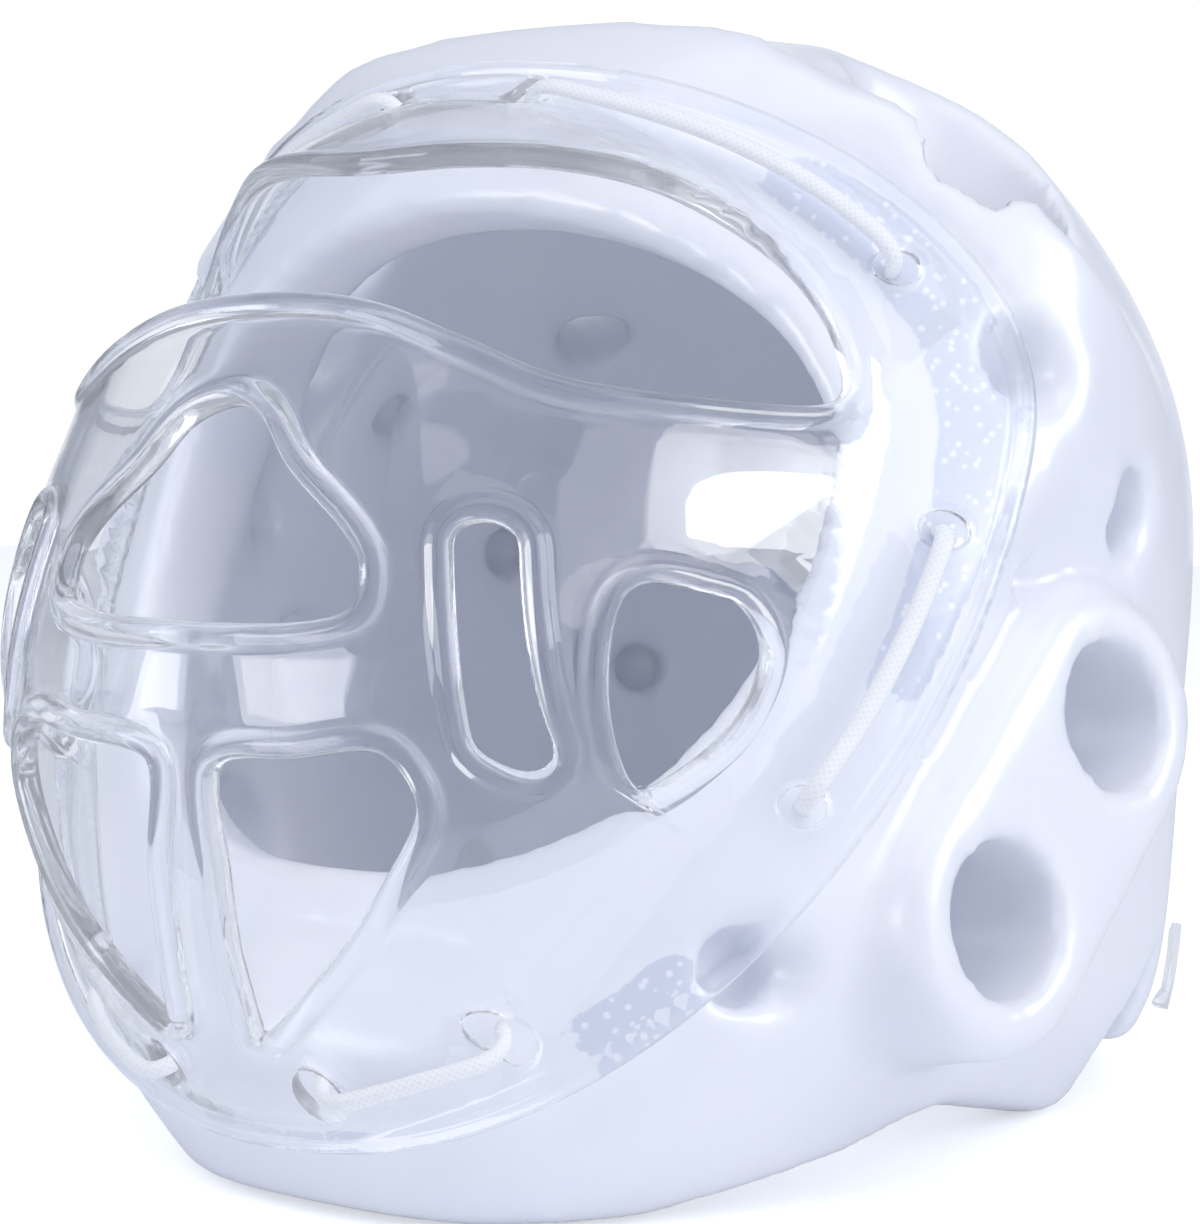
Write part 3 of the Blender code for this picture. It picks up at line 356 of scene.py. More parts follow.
flat = np.array([tuple(point) for point in result[0]])
corners = np.array([triangle for triangle in result[2] if len(triangle) == 3])


def inside(points, loop):
    """Which points lie inside a closed curve."""
    found = np.zeros(len(points), bool)
    for (x1, y1), (x2, y2) in zip(loop, np.roll(loop, -1, 0)):
        if y1 != y2:
            crosses = (y1 > points[:, 1]) != (y2 > points[:, 1])
            found ^= crosses & (points[:, 0] < (x2 - x1) * (points[:, 1] - y1) / (y2 - y1) + x1)
    return found


def distance_to(points, loops):
    """Distance of points on the mask's face from the nearest of some closed curves."""
    nearest = np.full(len(points), 1.0)
    for loop in loops:
        start = on_dome(loop)
        run = np.roll(start, -1, 0) - start
        for first in range(0, len(points), 4000):
            away = points[first:first + 4000, None, :] - start[None]
            part = np.clip(np.sum(away * run, 2) / np.sum(run * run, 1), 0, 1)
            gap = np.linalg.norm(away - part[..., None] * run, axis=2).min(1)
            nearest[first:first + 4000] = np.minimum(nearest[first:first + 4000], gap)
    return nearest


middles = flat[corners].mean(1)
kept = inside(middles, rim_edge)
for edge in hole_edges + tie_edges:
    kept &= ~inside(middles, edge)
corners = corners[kept]
face = on_dome(flat)
reaches = [(distance_to(face, hole_edges), BEAD_PROFILE),
           (distance_to(face, tie_edges), TIE_PROFILE),
           (distance_to(face, [rim_edge]), LIP_PROFILE)]
front_lift = sum(np.interp(away, profile[:, 0], profile[:, 1]) for away, profile in reaches)
back_lift = sum(np.interp(away, profile[:, 0], profile[:, 2]) for away, profile in reaches)
back_lift -= MASK_WALL
edge_points = np.min([away for away, _ in reaches], axis=0) < 5e-6
front_lift[edge_points] = -MASK_WALL / 2
back_lift[edge_points] = -MASK_WALL / 2
front = to_world(on_dome(flat, front_lift))
back = to_world(on_dome(flat, back_lift))

mask_mesh = bmesh.new()
front_corners, back_corners = {}, {}
for index in np.unique(corners):
    front_corners[index] = mask_mesh.verts.new(front[index])
    back_corners[index] = (front_corners[index] if edge_points[index]
                           else mask_mesh.verts.new(back[index]))
for a, b, c in corners:
    mask_mesh.faces.new((front_corners[a], front_corners[b], front_corners[c]))
    if not (edge_points[a] and edge_points[b] and edge_points[c]):
        mask_mesh.faces.new((back_corners[c], back_corners[b], back_corners[a]))
bmesh.ops.recalc_face_normals(mask_mesh, faces=mask_mesh.faces)
mesh = bpy.data.meshes.new("clear_mask")
mask_mesh.to_mesh(mesh)
mask_mesh.free()
clear_mask = bpy.data.objects.new("clear_mask", mesh)
bpy.context.scene.collection.objects.link(clear_mask)
mesh.shade_smooth()

clear_plastic = bpy.data.materials.new("clear_plastic_moulded")
clear_plastic.use_nodes = True
nodes, links = clear_plastic.node_tree.nodes, clear_plastic.node_tree.links
shader = nodes["Principled BSDF"]
shader.inputs["Transmission Weight"].default_value = 1.0
shader.inputs["IOR"].default_value = 1.42
place = nodes.new("ShaderNodeTexCoord")
flow = nodes.new("ShaderNodeTexNoise")
flow.inputs["Scale"].default_value = 26.0
flow.inputs["Detail"].default_value = 1.0
bump = nodes.new("ShaderNodeBump")
bump.inputs["Strength"].default_value = 0.6
bump.inputs["Distance"].default_value = 0.00022
haze = nodes.new("ShaderNodeTexNoise")
haze.inputs["Scale"].default_value = 120.0
haze.inputs["Detail"].default_value = 5.0
gloss = nodes.new("ShaderNodeMapRange")
gloss.inputs["From Min"].default_value = 0.45
gloss.inputs["From Max"].default_value = 0.75
gloss.inputs["To Min"].default_value = 0.006
gloss.inputs["To Max"].default_value = 0.03
body_tint = nodes.new("ShaderNodeValToRGB")
body_tint.color_ramp.elements[0].color = (0.955, 0.965, 0.995, 1.0)
body_tint.color_ramp.elements[1].color = (0.985, 0.99, 1.0, 1.0)
ray = nodes.new("ShaderNodeLightPath")
soft_ray = nodes.new("ShaderNodeMath")
soft_ray.operation = "MAXIMUM"
let_through = nodes.new("ShaderNodeMapRange")
let_through.inputs["To Min"].default_value = 0.86
let_through.inputs["To Max"].default_value = 0.07
links.new(place.outputs["Object"], flow.inputs["Vector"])
links.new(place.outputs["Object"], haze.inputs["Vector"])
links.new(flow.outputs["Fac"], bump.inputs["Height"])
links.new(bump.outputs["Normal"], shader.inputs["Normal"])
links.new(haze.outputs["Fac"], gloss.inputs["Value"])
links.new(gloss.outputs["Result"], shader.inputs["Roughness"])
links.new(flow.outputs["Fac"], body_tint.inputs["Fac"])
links.new(body_tint.outputs["Color"], shader.inputs["Base Color"])
links.new(ray.outputs["Is Shadow Ray"], soft_ray.inputs[0])
links.new(ray.outputs["Is Diffuse Ray"], soft_ray.inputs[1])
links.new(soft_ray.outputs["Value"], let_through.inputs["Value"])
links.new(let_through.outputs["Result"], shader.inputs["Alpha"])
clear_mask.data.materials.append(clear_plastic)
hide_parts("face_mask")
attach(clear_mask, "root")

# The clear tabs
# Small strips of the same clear sheet, bonded to the foam above each neck flap.
for hand in ("left", "right"):
    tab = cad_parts[f"clear_tab_{hand}"]
    tab.data.materials.clear()
    tab.data.materials.append(clear_plastic)

# The foam guard with its ear pads
# Slow-recovery foam, moulded and then dipped in white vinyl, so that shell and raised ear pads
# share one seamless skin. The front shell stands proud of the crown behind it.
SKIN_STEP = 0.0022
SEAT_GAP = 0.0003
CHIN_FOLLOW = 0.65
CHIN_FOLLOW_FROM = 0.62
CHIN_FOLLOW_RUN = 0.26
# Points of the front shell's upper edge on the wearer's left, from the middle down the side
RIDGE = np.array((
    (0, 28, 114), (28, 29, 114), (56, 31, 112), (66, 35, 109), (78, 44, 104), (89, 53, 94),
    (99, 66, 82), (104, 96, 75), (106, 120, 68))) / 1000
RIDGE_RISE = 0.0048
RIDGE_RUN = 0.038
RIDGE_STEP = 0.0045
RIDGE_DROP = 0.0016
RIDGE_FADE = 0.25
# A crown opening's place across and in depth, its half axes and turn, and how high its cut runs
CROWN_OPENING = (0.076, 0.063, 0.024, 0.0185, math.radians(35.0))
CROWN_CUT = (0.150, 0.066)
EAR_MIDDLE = np.array((0.1100, 0.0775, -0.0205))
EAR_TURN = math.radians(20.0)
EAR_TILT = math.radians(4.3)
EAR_LEAN = math.radians(30.7)
EAR_LIFT = 0.0008
EAR_PAD_RADIUS = 0.0244
EAR_HOLE_RADIUS = 0.0142
EAR_HOLE_SPACING = 0.0501
EAR_RECESS = 0.0095
EAR_RECESS_RUN = 0.020
EAR_RECESS_SLOPE = 1.6
# An ear pad's rounded edge: drop below its top, and growth beyond its radius
EAR_PAD_EDGE = ((0.0, -0.0046), (0.0005, -0.0026), (0.0018, -0.0009), (0.0040, 0.0),
                (0.0075, 0.0007), (None, 0.0022))
# A vent's depth, height and radius, and where its cut starts and ends below the skin
VENTS = (
    (0.057, 0.057, 0.0068, -0.010, 0.009), (0.097, 0.042, 0.0076, -0.010, 0.009),
    (0.032, -0.059, 0.0072, -0.010, 0.010), (0.072, 0.022, 0.0036, -0.010, 0.005),
    (0.152, 0.115, 0.0068, -0.010, 0.040), (0.114, 0.079, 0.0062, 0.014, 0.045),
    (0.069, 0.037, 0.0058, 0.014, 0.045), (0.173, 0.055, 0.0062, 0.014, 0.045),
    (0.217, 0.031, 0.0062, 0.014, 0.045), (0.187, -0.032, 0.0062, 0.014, 0.045))
SLIT_MIDDLE = (0.0, 0.1712, -0.0860)
SLIT_SIZE = (0.30, 0.0062, 0.1000)
# Where the mask presses on the foam and a painted shade darkens the foam there: angles from
# straight up, shares of the rim, and how much
FLANGE_SHADE_SPANS = (
    (30, 100, 0.84, 0.985, 1.0), (126, 150, 0.86, 0.985, 0.9), (164, 186, 0.93, 0.99, 0.8))
CORE = np.array((0.0, 0.103, 0.0))


def corners_of(item):
    """A mesh's corners as an array."""
    spots = np.empty(len(item.data.vertices) * 3)
    item.data.vertices.foreach_get("co", spots)
    return spots.reshape(-1, 3)


def set_corners(item, spots):
    """Puts an array of corners back into a mesh."""
    item.data.vertices.foreach_set("co", np.asarray(spots, float).ravel())
    item.data.update()


def skinned(item, step):
    """One closed skin of even faces over all of an item's solids."""
    remesh = item.modifiers.new("skin", "REMESH")
    remesh.mode = "VOXEL"
    remesh.voxel_size = step
    bpy.context.view_layer.objects.active = item
    bpy.ops.object.modifier_apply(modifier="skin")


class Skin:
    """A skin's corners, their neighbours and normals."""

    def __init__(self, item):
        self.item = item
        mesh = item.data
        pairs = np.empty(len(mesh.edges) * 2, int)
        mesh.edges.foreach_get("vertices", pairs)
        pairs = pairs.reshape(-1, 2)
        self.count = len(mesh.vertices)
        self.ends = np.concatenate([pairs[:, 0], pairs[:, 1]])
        self.others = np.concatenate([pairs[:, 1], pairs[:, 0]])
        self.degree = np.bincount(self.ends, minlength=self.count)[:, None]
        self.spots = corners_of(item)

    def averaged(self, values):
        """Each corner's mean over its neighbours."""
        total = [np.bincount(self.ends, column[self.others], self.count) for column in values.T]
        return np.stack(total, 1) / self.degree

    def smooth(self, rounds, weight):
        """Evens the skin out, by a weight for each corner."""
        for _ in range(rounds):
            self.spots = self.spots + weight * (self.averaged(self.spots) - self.spots)

    def normals(self):
        """Unit vectors out of the skin, in the guard's own frame."""
        set_corners(self.item, self.spots)
        found = np.empty(self.count * 3)
        self.item.data.vertex_normals.foreach_get("vector", found)
        return to_guard(found.reshape(-1, 3) + FRAME_SHIFT)

    def edges(self, angle, spread):
        """How near each corner is to a bend sharper than an angle, from 0 to 1."""
        normals = self.normals()
        bend = np.zeros(self.count)
        turned = 1 - np.sum(normals[self.ends] * normals[self.others], 1)
        np.maximum.at(bend, self.ends, turned)
        near = (bend > 1 - math.cos(math.radians(angle))).astype(float)[:, None]
        for _ in range(2):
            near = np.maximum(near, self.averaged(near) > 0.05)
        for _ in range(spread):
            near = 0.5 * near + 0.5 * self.averaged(near)
        return near


def mask_seat(x, height):
    """Depth of the foam that the flange lies on, and the length of its slope."""
    across, up = x / HALF_WIDTH, height / HALF_HEIGHT
    flange = (RIM_SWEEP[0] + RIM_SWEEP[1] * up) * across ** 2 + RIM_SWEEP[2] * up ** 2
    slope_x = 2 * (RIM_SWEEP[0] + RIM_SWEEP[1] * up) * across / HALF_WIDTH
    slope_up = (RIM_SWEEP[1] * across ** 2 + 2 * RIM_SWEEP[2] * up) / HALF_HEIGHT
    slope = np.sqrt(1 + slope_x ** 2 + slope_up ** 2)
    chin_share = CHIN_FOLLOW * np.clip((-up - CHIN_FOLLOW_FROM) / CHIN_FOLLOW_RUN, 0, 1)
    return flange + MASK_WALL * slope - chin_share * (flange - dome_depth(x, height)), slope


def kept_off_mask(spots, normals):
    """Corners of the guard, set back where they would stand in the mask's flange."""
    x, height = spots[:, 0], spots[:, 2]
    share = np.hypot(x, height) / rim_radius(np.arctan2(np.abs(x), height))
    inside_rim = (share < 1.0) & (normals[:, 1] < 0.2) & (spots[:, 1] < 0.09)
    seat, slope = mask_seat(x, height)
    set_back = spots.copy()
    behind_seat = np.maximum(spots[:, 1], seat + SEAT_GAP * slope)
    set_back[:, 1] = np.where(inside_rim, behind_seat, spots[:, 1])
    return set_back, share, inside_rim, (set_back[:, 1] - seat) / slope


def ear_axes():
    """Directions of the +X ear pad: along its row of holes, across it, and out of it."""
    out = np.array((math.cos(EAR_TURN) * math.cos(EAR_TILT),
                    -math.sin(EAR_TURN) * math.cos(EAR_TILT), math.sin(EAR_TILT)))
    rearward = np.array((math.sin(EAR_TURN), math.cos(EAR_TURN), 0.0))
    upward = np.cross(out, rearward)
    row = upward * math.cos(EAR_LEAN) + rearward * math.sin(EAR_LEAN)
    return row, rearward * math.cos(EAR_LEAN) - upward * math.sin(EAR_LEAN), out


bpy.ops.object.select_all(action="DESELECT")
guard = bpy.data.objects.new("foam_guard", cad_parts["foam_shell"].data.copy())
bpy.context.scene.collection.objects.link(guard)
guard.data.materials.clear()
part = bmesh.new()
part.from_mesh(guard.data)
bmesh.ops.remove_doubles(part, verts=part.verts, dist=1e-5)
part.to_mesh(guard.data)
part.free()
guard.select_set(True)
skinned(guard, SKIN_STEP)
skin = Skin(guard)
skin.smooth(3, 0.5)
near_edge = skin.edges(9.0, 5)
skin.smooth(3, 0.5)
skin.smooth(64, 0.5 * (1 - near_edge))

# The front shell's upper edge stands up over the crown behind it, and fades down the side
normals = skin.normals()
spots = to_guard(skin.spots)
outward = np.sum(normals * (spots - CORE), 1) > 0
folded = spots.copy()
folded[:, 0] = np.abs(folded[:, 0])
nearest = np.full(skin.count, 1.0)
ahead = np.zeros(skin.count)
progress = np.zeros(skin.count)
for number, (start, run) in enumerate(zip(RIDGE[:-1], RIDGE[1:] - RIDGE[:-1])):
    away = folded - start
    along = np.clip(np.sum(away * run, 1) / np.sum(run * run), 0, 1)
    off_line = away - along[:, None] * run
    gap = np.linalg.norm(off_line, axis=1)
    forward = np.cross(run, folded - CORE)
    closer = gap < nearest
    nearest[closer] = gap[closer]
    ahead[closer] = np.sum(off_line * forward, 1)[closer]
    progress[closer] = ((number + along) / (len(RIDGE) - 1))[closer]
ahead = np.where(ahead < 0, -nearest, nearest)
fade = np.clip((1.0 - progress) / RIDGE_FADE, 0, 1)
in_front = RIDGE_RISE * np.clip(1 - ahead / RIDGE_RUN, 0, 1) ** 1.5
behind = (RIDGE_RISE + RIDGE_DROP) * np.clip(1 + ahead / RIDGE_STEP, 0, 1)
behind = behind - RIDGE_DROP * np.clip(1 + (ahead + RIDGE_STEP) / 0.02, 0, 1)
rise = (np.where(ahead > 0, in_front, behind) * fade * outward)[:, None]
for _ in range(2):
    rise = 0.5 * rise + 0.5 * skin.averaged(rise)
spots = spots + normals * rise

# Round each ear pad the shell sinks, so that the pad's wall shows
row, across_row, out = ear_axes()
half_row = EAR_HOLE_SPACING / 2
for side in (1.0, -1.0):
    local = (spots * (side, 1.0, 1.0)) - EAR_MIDDLE
    along, across, off = local @ row, local @ across_row, local @ out
    outside = np.hypot(np.maximum(np.abs(along) - half_row, 0), across) - EAR_PAD_RADIUS
    climb = np.clip((outside - 0.003) / EAR_RECESS_RUN, 0, 1) * EAR_RECESS_SLOPE
    limit = EAR_LIFT - EAR_RECESS + EAR_RECESS * climb
    near_pad = (outside < EAR_RECESS_RUN) & (off > -0.02) & (spots[:, 0] * side > 0.07)
    excess = np.where(near_pad, np.maximum(off - limit, 0.0), 0.0)[:, None]
    for _ in range(4):
        excess = 0.5 * excess + 0.5 * skin.averaged(excess)
    spots = spots - excess * out * (side, 1.0, 1.0)
spots = kept_off_mask(spots, normals)[0]
set_corners(guard, to_world(spots))

# The ear pads, each a raised oval with a rounded edge round two holes, and the crown openings
shell_tree = BVHTree.FromPolygons([Vector(spot) for spot in to_world(spots)],
                                  [tuple(polygon.vertices) for polygon in guard.data.polygons])
cutters = []
pad_turns = np.linspace(0, 2 * math.pi, 72, endpoint=False)
for side in (1.0, -1.0):
    hand = np.array((side, 1.0, 1.0))
    pad = bmesh.new()
    levels = []
    for drop, grow in EAR_PAD_EDGE:
        ring = []
        for turn in pad_turns:
            radius = EAR_PAD_RADIUS + grow
            reach = radius * math.cos(turn) + math.copysign(half_row, math.cos(turn))
            flat_spot = EAR_MIDDLE + row * reach + across_row * radius * math.sin(turn)
            top = flat_spot + out * EAR_LIFT
            if drop is None:
                start = Vector(to_world([(flat_spot + out * 0.03) * hand])[0])
                aim = Vector(to_world([(flat_spot - out * 0.03) * hand])[0]) - start
                hit, _, _, gap = shell_tree.ray_cast(start, aim.normalized(), 0.075)
                sunk = (0.066 if hit is None else gap) - 0.03 + 0.006
                spot = flat_spot - out * max(sunk, 0.010)
            else:
                spot = top - out * drop
            ring.append(pad.verts.new(to_world([spot * hand])[0]))
        levels.append(ring)
    for upper, lower in zip(levels, levels[1:]):
        for step in range(len(pad_turns)):
            after = (step + 1) % len(pad_turns)
            pad.faces.new((upper[step], upper[after], lower[after], lower[step]))
    pad.faces.new(levels[0])
    pad.faces.new(levels[-1])
    bmesh.ops.recalc_face_normals(pad, faces=pad.faces)
    mesh = bpy.data.meshes.new("pad")
    pad.to_mesh(mesh)
    pad.free()
    pad_piece = bpy.data.objects.new("pad", mesh)
    bpy.context.scene.collection.objects.link(pad_piece)
    bpy.ops.object.select_all(action="DESELECT")
    pad_piece.select_set(True)
    guard.select_set(True)
    bpy.context.view_layer.objects.active = guard
    bpy.ops.object.join()
    for index in (-1, 1):
        centre = EAR_MIDDLE + row * half_row * index
        near = Vector(to_world([(centre + out * 0.02) * hand])[0])
        far = Vector(to_world([(centre - out * 0.055) * hand])[0])
        cutters.append((near, far, EAR_HOLE_RADIUS, EAR_HOLE_RADIUS, 0.0))
    x, depth, long_half, short_half, turn = CROWN_OPENING
    near, far = (Vector(to_world([np.array((x, depth, height)) * hand])[0])
                 for height in CROWN_CUT)
    cutters.append((near, far, long_half, short_half, turn * side))
    for depth, height, radius, outer, inner in VENTS:
        start = Vector(to_world([(side * 0.2, depth, height)])[0])
        hit = shell_tree.ray_cast(start, Vector((-side, 0.0, 0.0)))[0]
        spot = to_guard([hit])[0]
        inward = np.array((0.0, CORE[1], min(height, 0.005))) - spot
        inward /= np.linalg.norm(inward)
        near = Vector(to_world([spot + inward * outer])[0])
        far = Vector(to_world([spot + inward * inner])[0])
        cutters.append((near, far, radius, radius, 0.0))
skinned(guard, SKIN_STEP)
bpy.ops.object.select_all(action="DESELECT")
pins = []
for near, far, long_half, short_half, turn in cutters:
    aim = near - far
    bpy.ops.mesh.primitive_cylinder_add(vertices=48, radius=1.0, depth=aim.length,
                                        location=(near + far) / 2,
                                        rotation=aim.to_track_quat("Z", "Y").to_euler())
    pin = bpy.context.object
    pin.scale = (long_half, short_half, 1.0)
    pin.rotation_euler.rotate_axis("Z", turn)
    pins.append(pin)
bpy.ops.mesh.primitive_cube_add(size=1.0, location=to_world([SLIT_MIDDLE])[0],
                                rotation=(-LEAN, 0.0, 0.0))
slit_blade = bpy.context.object
slit_blade.scale = SLIT_SIZE
pins.append(slit_blade)
for pin in pins:
    pin.select_set(True)
bpy.context.view_layer.objects.active = pins[0]
bpy.ops.object.join()
hole = guard.modifiers.new("holes", "BOOLEAN")
hole.object = pins[0]
hole.operation = "DIFFERENCE"
hole.use_self = True
bpy.context.view_layer.objects.active = guard
bpy.ops.object.modifier_apply(modifier="holes")
bpy.data.objects.remove(pins[0])
skinned(guard, SKIN_STEP)

skin = Skin(guard)
skin.smooth(4, 0.5)
near_edge = skin.edges(10.0, 4)
skin.smooth(12, 0.5 * (1 - near_edge))
normals = skin.normals()
spots, under_mask, inside_rim, gap = kept_off_mask(to_guard(skin.spots), normals)
set_corners(guard, to_world(spots))
angle = np.degrees(np.arctan2(np.abs(spots[:, 0]), spots[:, 2]))
# Painted shade: how strongly a darker lavender tint is laid on the foam under the mask's flange
painted_flange_shade = np.zeros(skin.count)
for low_angle, high_angle, low_share, high_share, amount in FLANGE_SHADE_SPANS:
    across = np.clip(np.minimum(angle - low_angle, high_angle - angle) / 8.0, 0, 1)
    along = np.clip(np.minimum(under_mask - low_share, high_share - under_mask) / 0.03, 0, 1)
    painted_flange_shade = np.maximum(painted_flange_shade, amount * across * along)
painted_flange_shade *= inside_rim & (gap < 0.004)
mesh = guard.data
layer = mesh.attributes.new("painted_flange_shade", "FLOAT", "POINT")
layer.data.foreach_set("value", painted_flange_shade)
mesh.shade_smooth()

white_foam = bpy.data.materials.new("white_dipped_foam")
white_foam.use_nodes = True
nodes, links = white_foam.node_tree.nodes, white_foam.node_tree.links
shader = nodes["Principled BSDF"]
shader.inputs["Coat Roughness"].default_value = 0.12
shader.inputs["Specular IOR Level"].default_value = 0.45
place = nodes.new("ShaderNodeTexCoord")
ripple = nodes.new("ShaderNodeTexNoise")
ripple.inputs["Scale"].default_value = 34.0
ripple.inputs["Detail"].default_value = 2.0
peel = nodes.new("ShaderNodeTexNoise")
peel.inputs["Scale"].default_value = 520.0
peel.inputs["Detail"].default_value = 3.0
long_bump = nodes.new("ShaderNodeBump")
long_bump.inputs["Strength"].default_value = 0.5
long_bump.inputs["Distance"].default_value = 0.0011
fine_bump = nodes.new("ShaderNodeBump")
fine_bump.inputs["Strength"].default_value = 0.25
fine_bump.inputs["Distance"].default_value = 0.0002
skin_tint = nodes.new("ShaderNodeValToRGB")
skin_tint.color_ramp.elements[0].position = 0.35
skin_tint.color_ramp.elements[0].color = (0.878, 0.897, 0.980, 1.0)
skin_tint.color_ramp.elements[1].position = 0.65
skin_tint.color_ramp.elements[1].color = (0.903, 0.918, 0.985, 1.0)
gloss = nodes.new("ShaderNodeMapRange")
gloss.inputs["To Min"].default_value = 0.30
gloss.inputs["To Max"].default_value = 0.42
coat = nodes.new("ShaderNodeMapRange")
coat.inputs["From Min"].default_value = 0.3
coat.inputs["From Max"].default_value = 0.7
coat.inputs["To Min"].default_value = 0.15
coat.inputs["To Max"].default_value = 0.40
# Painted shade under the mask's flange: a darker lavender tint, mottled by blotches and small
# round gaps
flange_shade_lookup = nodes.new("ShaderNodeAttribute")
flange_shade_lookup.attribute_name = "painted_flange_shade"
shade_blotch = nodes.new("ShaderNodeTexNoise")
shade_blotch.inputs["Scale"].default_value = 95.0
shade_blotch.inputs["Detail"].default_value = 6.0
shade_blotch.inputs["Roughness"].default_value = 0.7
shade_level = nodes.new("ShaderNodeMath")
shade_level.operation = "MULTIPLY_ADD"
shade_level.inputs[1].default_value = 1.0
shade_edge = nodes.new("ShaderNodeMapRange")
shade_edge.inputs["From Min"].default_value = 1.02
shade_edge.inputs["From Max"].default_value = 1.06
shade_gaps = nodes.new("ShaderNodeTexVoronoi")
shade_gaps.inputs["Scale"].default_value = 420.0
shade_gap_edge = nodes.new("ShaderNodeMapRange")
shade_gap_edge.inputs["From Min"].default_value = 0.22
shade_gap_edge.inputs["From Max"].default_value = 0.30
painted_shade_area = nodes.new("ShaderNodeMath")
painted_shade_area.operation = "MULTIPLY"
painted_shade_tint = nodes.new("ShaderNodeMix")
painted_shade_tint.data_type = "RGBA"
painted_shade_tint.inputs["B"].default_value = (0.70, 0.735, 0.86, 1.0)
for texture in (ripple, peel, shade_blotch, shade_gaps):
    links.new(place.outputs["Object"], texture.inputs["Vector"])
links.new(ripple.outputs["Fac"], long_bump.inputs["Height"])
links.new(peel.outputs["Fac"], fine_bump.inputs["Height"])
links.new(long_bump.outputs["Normal"], fine_bump.inputs["Normal"])
links.new(fine_bump.outputs["Normal"], shader.inputs["Normal"])
links.new(ripple.outputs["Fac"], skin_tint.inputs["Fac"])
links.new(ripple.outputs["Fac"], gloss.inputs["Value"])
links.new(gloss.outputs["Result"], shader.inputs["Roughness"])
links.new(ripple.outputs["Fac"], coat.inputs["Value"])
links.new(coat.outputs["Result"], shader.inputs["Coat Weight"])
links.new(flange_shade_lookup.outputs["Fac"], shade_level.inputs[0])
links.new(shade_blotch.outputs["Fac"], shade_level.inputs[2])
links.new(shade_level.outputs["Value"], shade_edge.inputs["Value"])
links.new(shade_gaps.outputs["Distance"], shade_gap_edge.inputs["Value"])
links.new(shade_edge.outputs["Result"], painted_shade_area.inputs[0])
links.new(shade_gap_edge.outputs["Result"], painted_shade_area.inputs[1])
links.new(painted_shade_area.outputs["Value"], painted_shade_tint.inputs["Factor"])
links.new(skin_tint.outputs["Color"], painted_shade_tint.inputs["A"])
links.new(painted_shade_tint.outputs["Result"], shader.inputs["Base Color"])
guard.data.materials.append(white_foam)
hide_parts("foam_shell", "ear_pad_left", "ear_pad_right")
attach(guard, "root")

# The six ties
# Flat woven laces that hold the mask on: each comes up through one hole, lies over the flange
# and goes down through the next. Their ends behind the mask are out of sight.
TIE_HALF_WIDTH = 0.0018
TIE_HALF_THICKNESS = 0.0013
TIE_REST = 0.0021
TIE_SIDES = 14
WEAVE_STEP = 0.006
# A lace's end: distance along it in hole radii, and lift as a share of its rest on the flange
TIE_END = np.array((
    (0.0, -1.8), (0.05, -0.9), (0.12, -0.35), (0.3, 0.35), (0.7, 0.95), (1.2, 1.25),
    (1.9, 1.2), (2.8, 1.0)))

woven_cord = bpy.data.materials.new("woven_white_cord")
woven_cord.use_nodes = True
nodes, links = woven_cord.node_tree.nodes, woven_cord.node_tree.links
shader = nodes["Principled BSDF"]
shader.inputs["Sheen Weight"].default_value = 0.2
shader.inputs["Roughness"].default_value = 0.62
lay_out = nodes.new("ShaderNodeUVMap")
lay_out.uv_map = "lace"
strand = nodes.new("ShaderNodeTexWave")
strand.wave_type = "BANDS"
strand.bands_direction = "DIAGONAL"
strand.inputs["Scale"].default_value = 3.0
cross_strand = nodes.new("ShaderNodeTexWave")
cross_strand.bands_direction = "DIAGONAL"
cross_strand.inputs["Scale"].default_value = 3.0
flip = nodes.new("ShaderNodeMapping")
flip.inputs["Scale"].default_value = (-1.0, 1.0, 1.0)
woven = nodes.new("ShaderNodeMath")
woven.operation = "MAXIMUM"
bump = nodes.new("ShaderNodeBump")
bump.inputs["Strength"].default_value = 0.35
bump.inputs["Distance"].default_value = 0.00012
yarn_tint = nodes.new("ShaderNodeValToRGB")
yarn_tint.color_ramp.elements[0].color = (0.86, 0.88, 0.95, 1.0)
yarn_tint.color_ramp.elements[1].color = (0.95, 0.96, 0.985, 1.0)
links.new(lay_out.outputs["UV"], strand.inputs["Vector"])
links.new(lay_out.outputs["UV"], flip.inputs["Vector"])
links.new(flip.outputs["Vector"], cross_strand.inputs["Vector"])
links.new(strand.outputs["Fac"], woven.inputs[0])
links.new(cross_strand.outputs["Fac"], woven.inputs[1])
links.new(woven.outputs["Value"], bump.inputs["Height"])
links.new(bump.outputs["Normal"], shader.inputs["Normal"])
links.new(woven.outputs["Value"], yarn_tint.inputs["Fac"])
links.new(yarn_tint.outputs["Color"], shader.inputs["Base Color"])

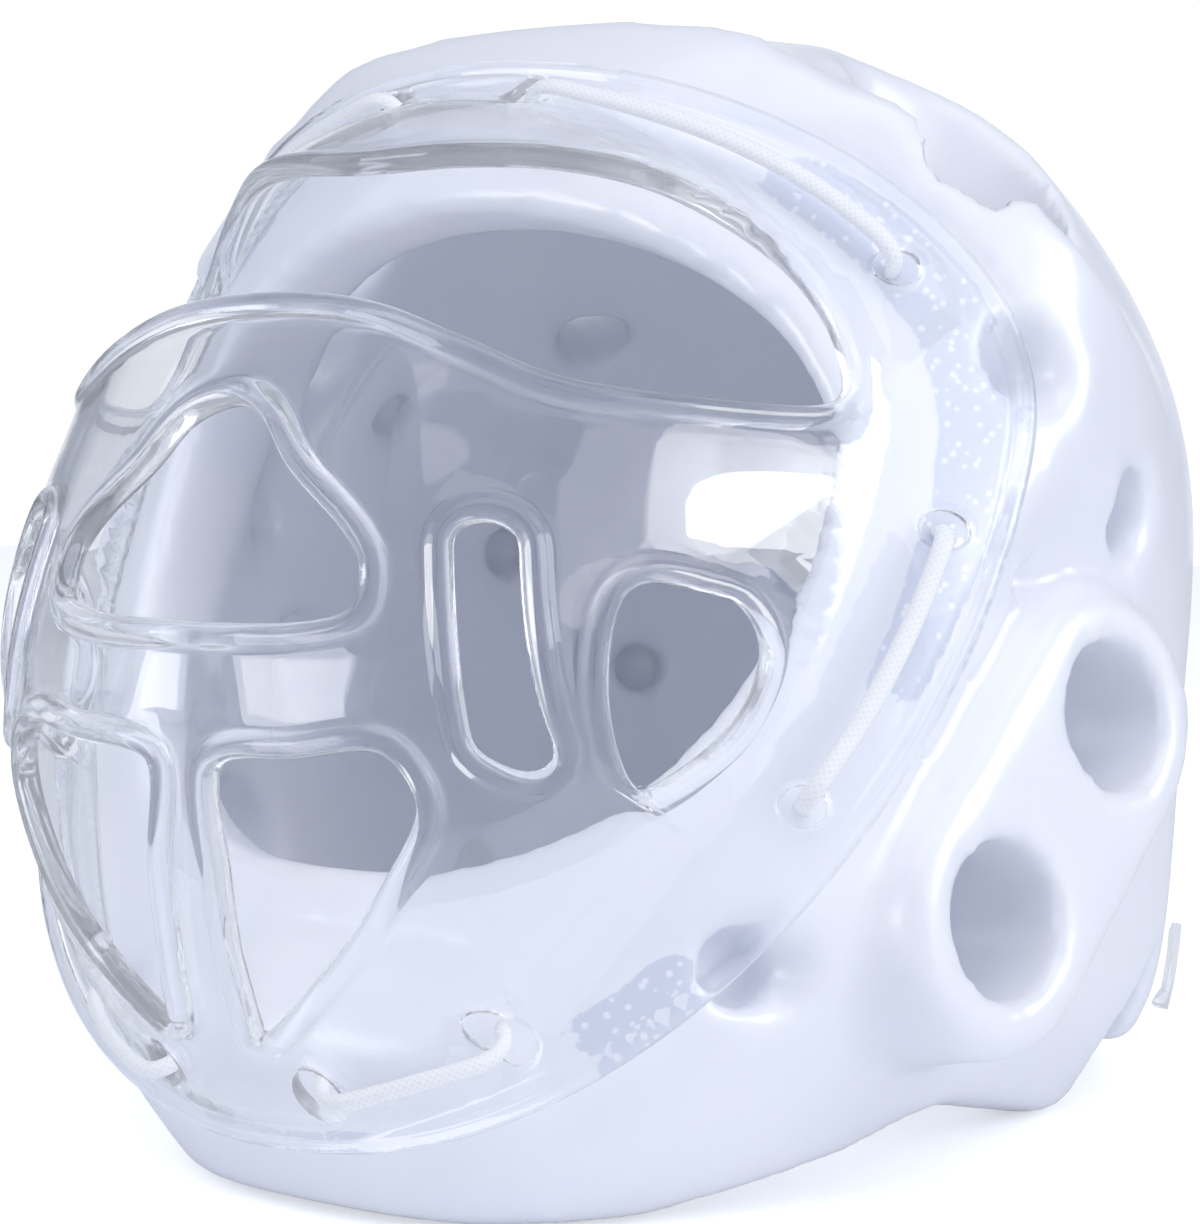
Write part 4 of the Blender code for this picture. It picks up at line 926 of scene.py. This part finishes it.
for side, hand in ((1, "left"), (-1, "right")):
    for name, first, second in TIES:
        ends_of_tie = []
        for share_x, share_height in (first, second):
            spot_x, spot_height = share_x * HALF_WIDTH, share_height * HALF_HEIGHT
            turn = math.atan2(spot_x, spot_height)
            ends_of_tie.append((turn, math.hypot(spot_x, spot_height) / float(rim_radius(turn))))
        part = np.linspace(0, 1, 81)
        turn = ends_of_tie[0][0] * (1 - part) + ends_of_tie[1][0] * part
        reach = rim_radius(turn) * (ends_of_tie[0][1] * (1 - part) + ends_of_tie[1][1] * part)
        line = np.stack([side * reach * np.sin(turn), reach * np.cos(turn)], 1)
        runs = np.concatenate([[0], np.cumsum(np.linalg.norm(np.diff(line, axis=0), axis=1))])
        length = runs[-1]
        along, lift = TIE_END[:, 0] * TIE_HOLE_RADIUS, TIE_END[:, 1]
        inner = np.linspace(3.6 * TIE_HOLE_RADIUS, length - 3.6 * TIE_HOLE_RADIUS, 26)
        along = np.concatenate([along, inner, length - along[::-1]])
        lift = np.concatenate([lift, np.ones(len(inner)), lift[::-1]]) * TIE_REST
        path_flat = np.stack([np.interp(along, runs, column) for column in line.T], 1)
        path = on_dome(path_flat, lift)
        for _ in range(2):
            path[1:-1] = 0.25 * path[:-2] + 0.5 * path[1:-1] + 0.25 * path[2:]
        up_side = dome_normal(*path_flat.T)
        forward = np.gradient(path, axis=0)
        forward /= np.linalg.norm(forward, axis=1)[:, None]
        across = np.cross(forward, up_side)
        across /= np.linalg.norm(across, axis=1)[:, None]
        up_side = np.cross(across, forward)
        lace = bmesh.new()
        uv = lace.loops.layers.uv.new("lace")
        rings = []
        for middle, wide, thick in zip(path, across, up_side):
            spin = np.arange(TIE_SIDES) * 2 * math.pi / TIE_SIDES
            ring = (middle + np.outer(np.cos(spin) * TIE_HALF_WIDTH, wide)
                    + np.outer(np.sin(spin) * TIE_HALF_THICKNESS, thick))
            rings.append([lace.verts.new(point) for point in to_world(ring)])
        path_steps = np.linalg.norm(np.diff(path, axis=0), axis=1)
        path_runs = np.concatenate([[0], np.cumsum(path_steps)])
        for number in range(len(rings) - 1):
            for step in range(TIE_SIDES):
                after = (step + 1) % TIE_SIDES
                quad = lace.faces.new((rings[number][step], rings[number][after],
                                       rings[number + 1][after], rings[number + 1][step]))
                for loop, (u, v) in zip(quad.loops, ((number, step), (number, step + 1),
                                                     (number + 1, step + 1), (number + 1, step))):
                    loop[uv].uv = (path_runs[u] / WEAVE_STEP, v / TIE_SIDES * 1.5)
        lace.faces.new(rings[0])
        lace.faces.new(rings[-1])
        bmesh.ops.recalc_face_normals(lace, faces=lace.faces)
        mesh = bpy.data.meshes.new(f"{name}_{hand}_lace")
        lace.to_mesh(mesh)
        lace.free()
        mesh.shade_smooth()
        tie = bpy.data.objects.new(f"{name}_{hand}_lace", mesh)
        bpy.context.scene.collection.objects.link(tie)
        tie.data.materials.append(woven_cord)
        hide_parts(f"{name}_{hand}")
        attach(tie, "root")
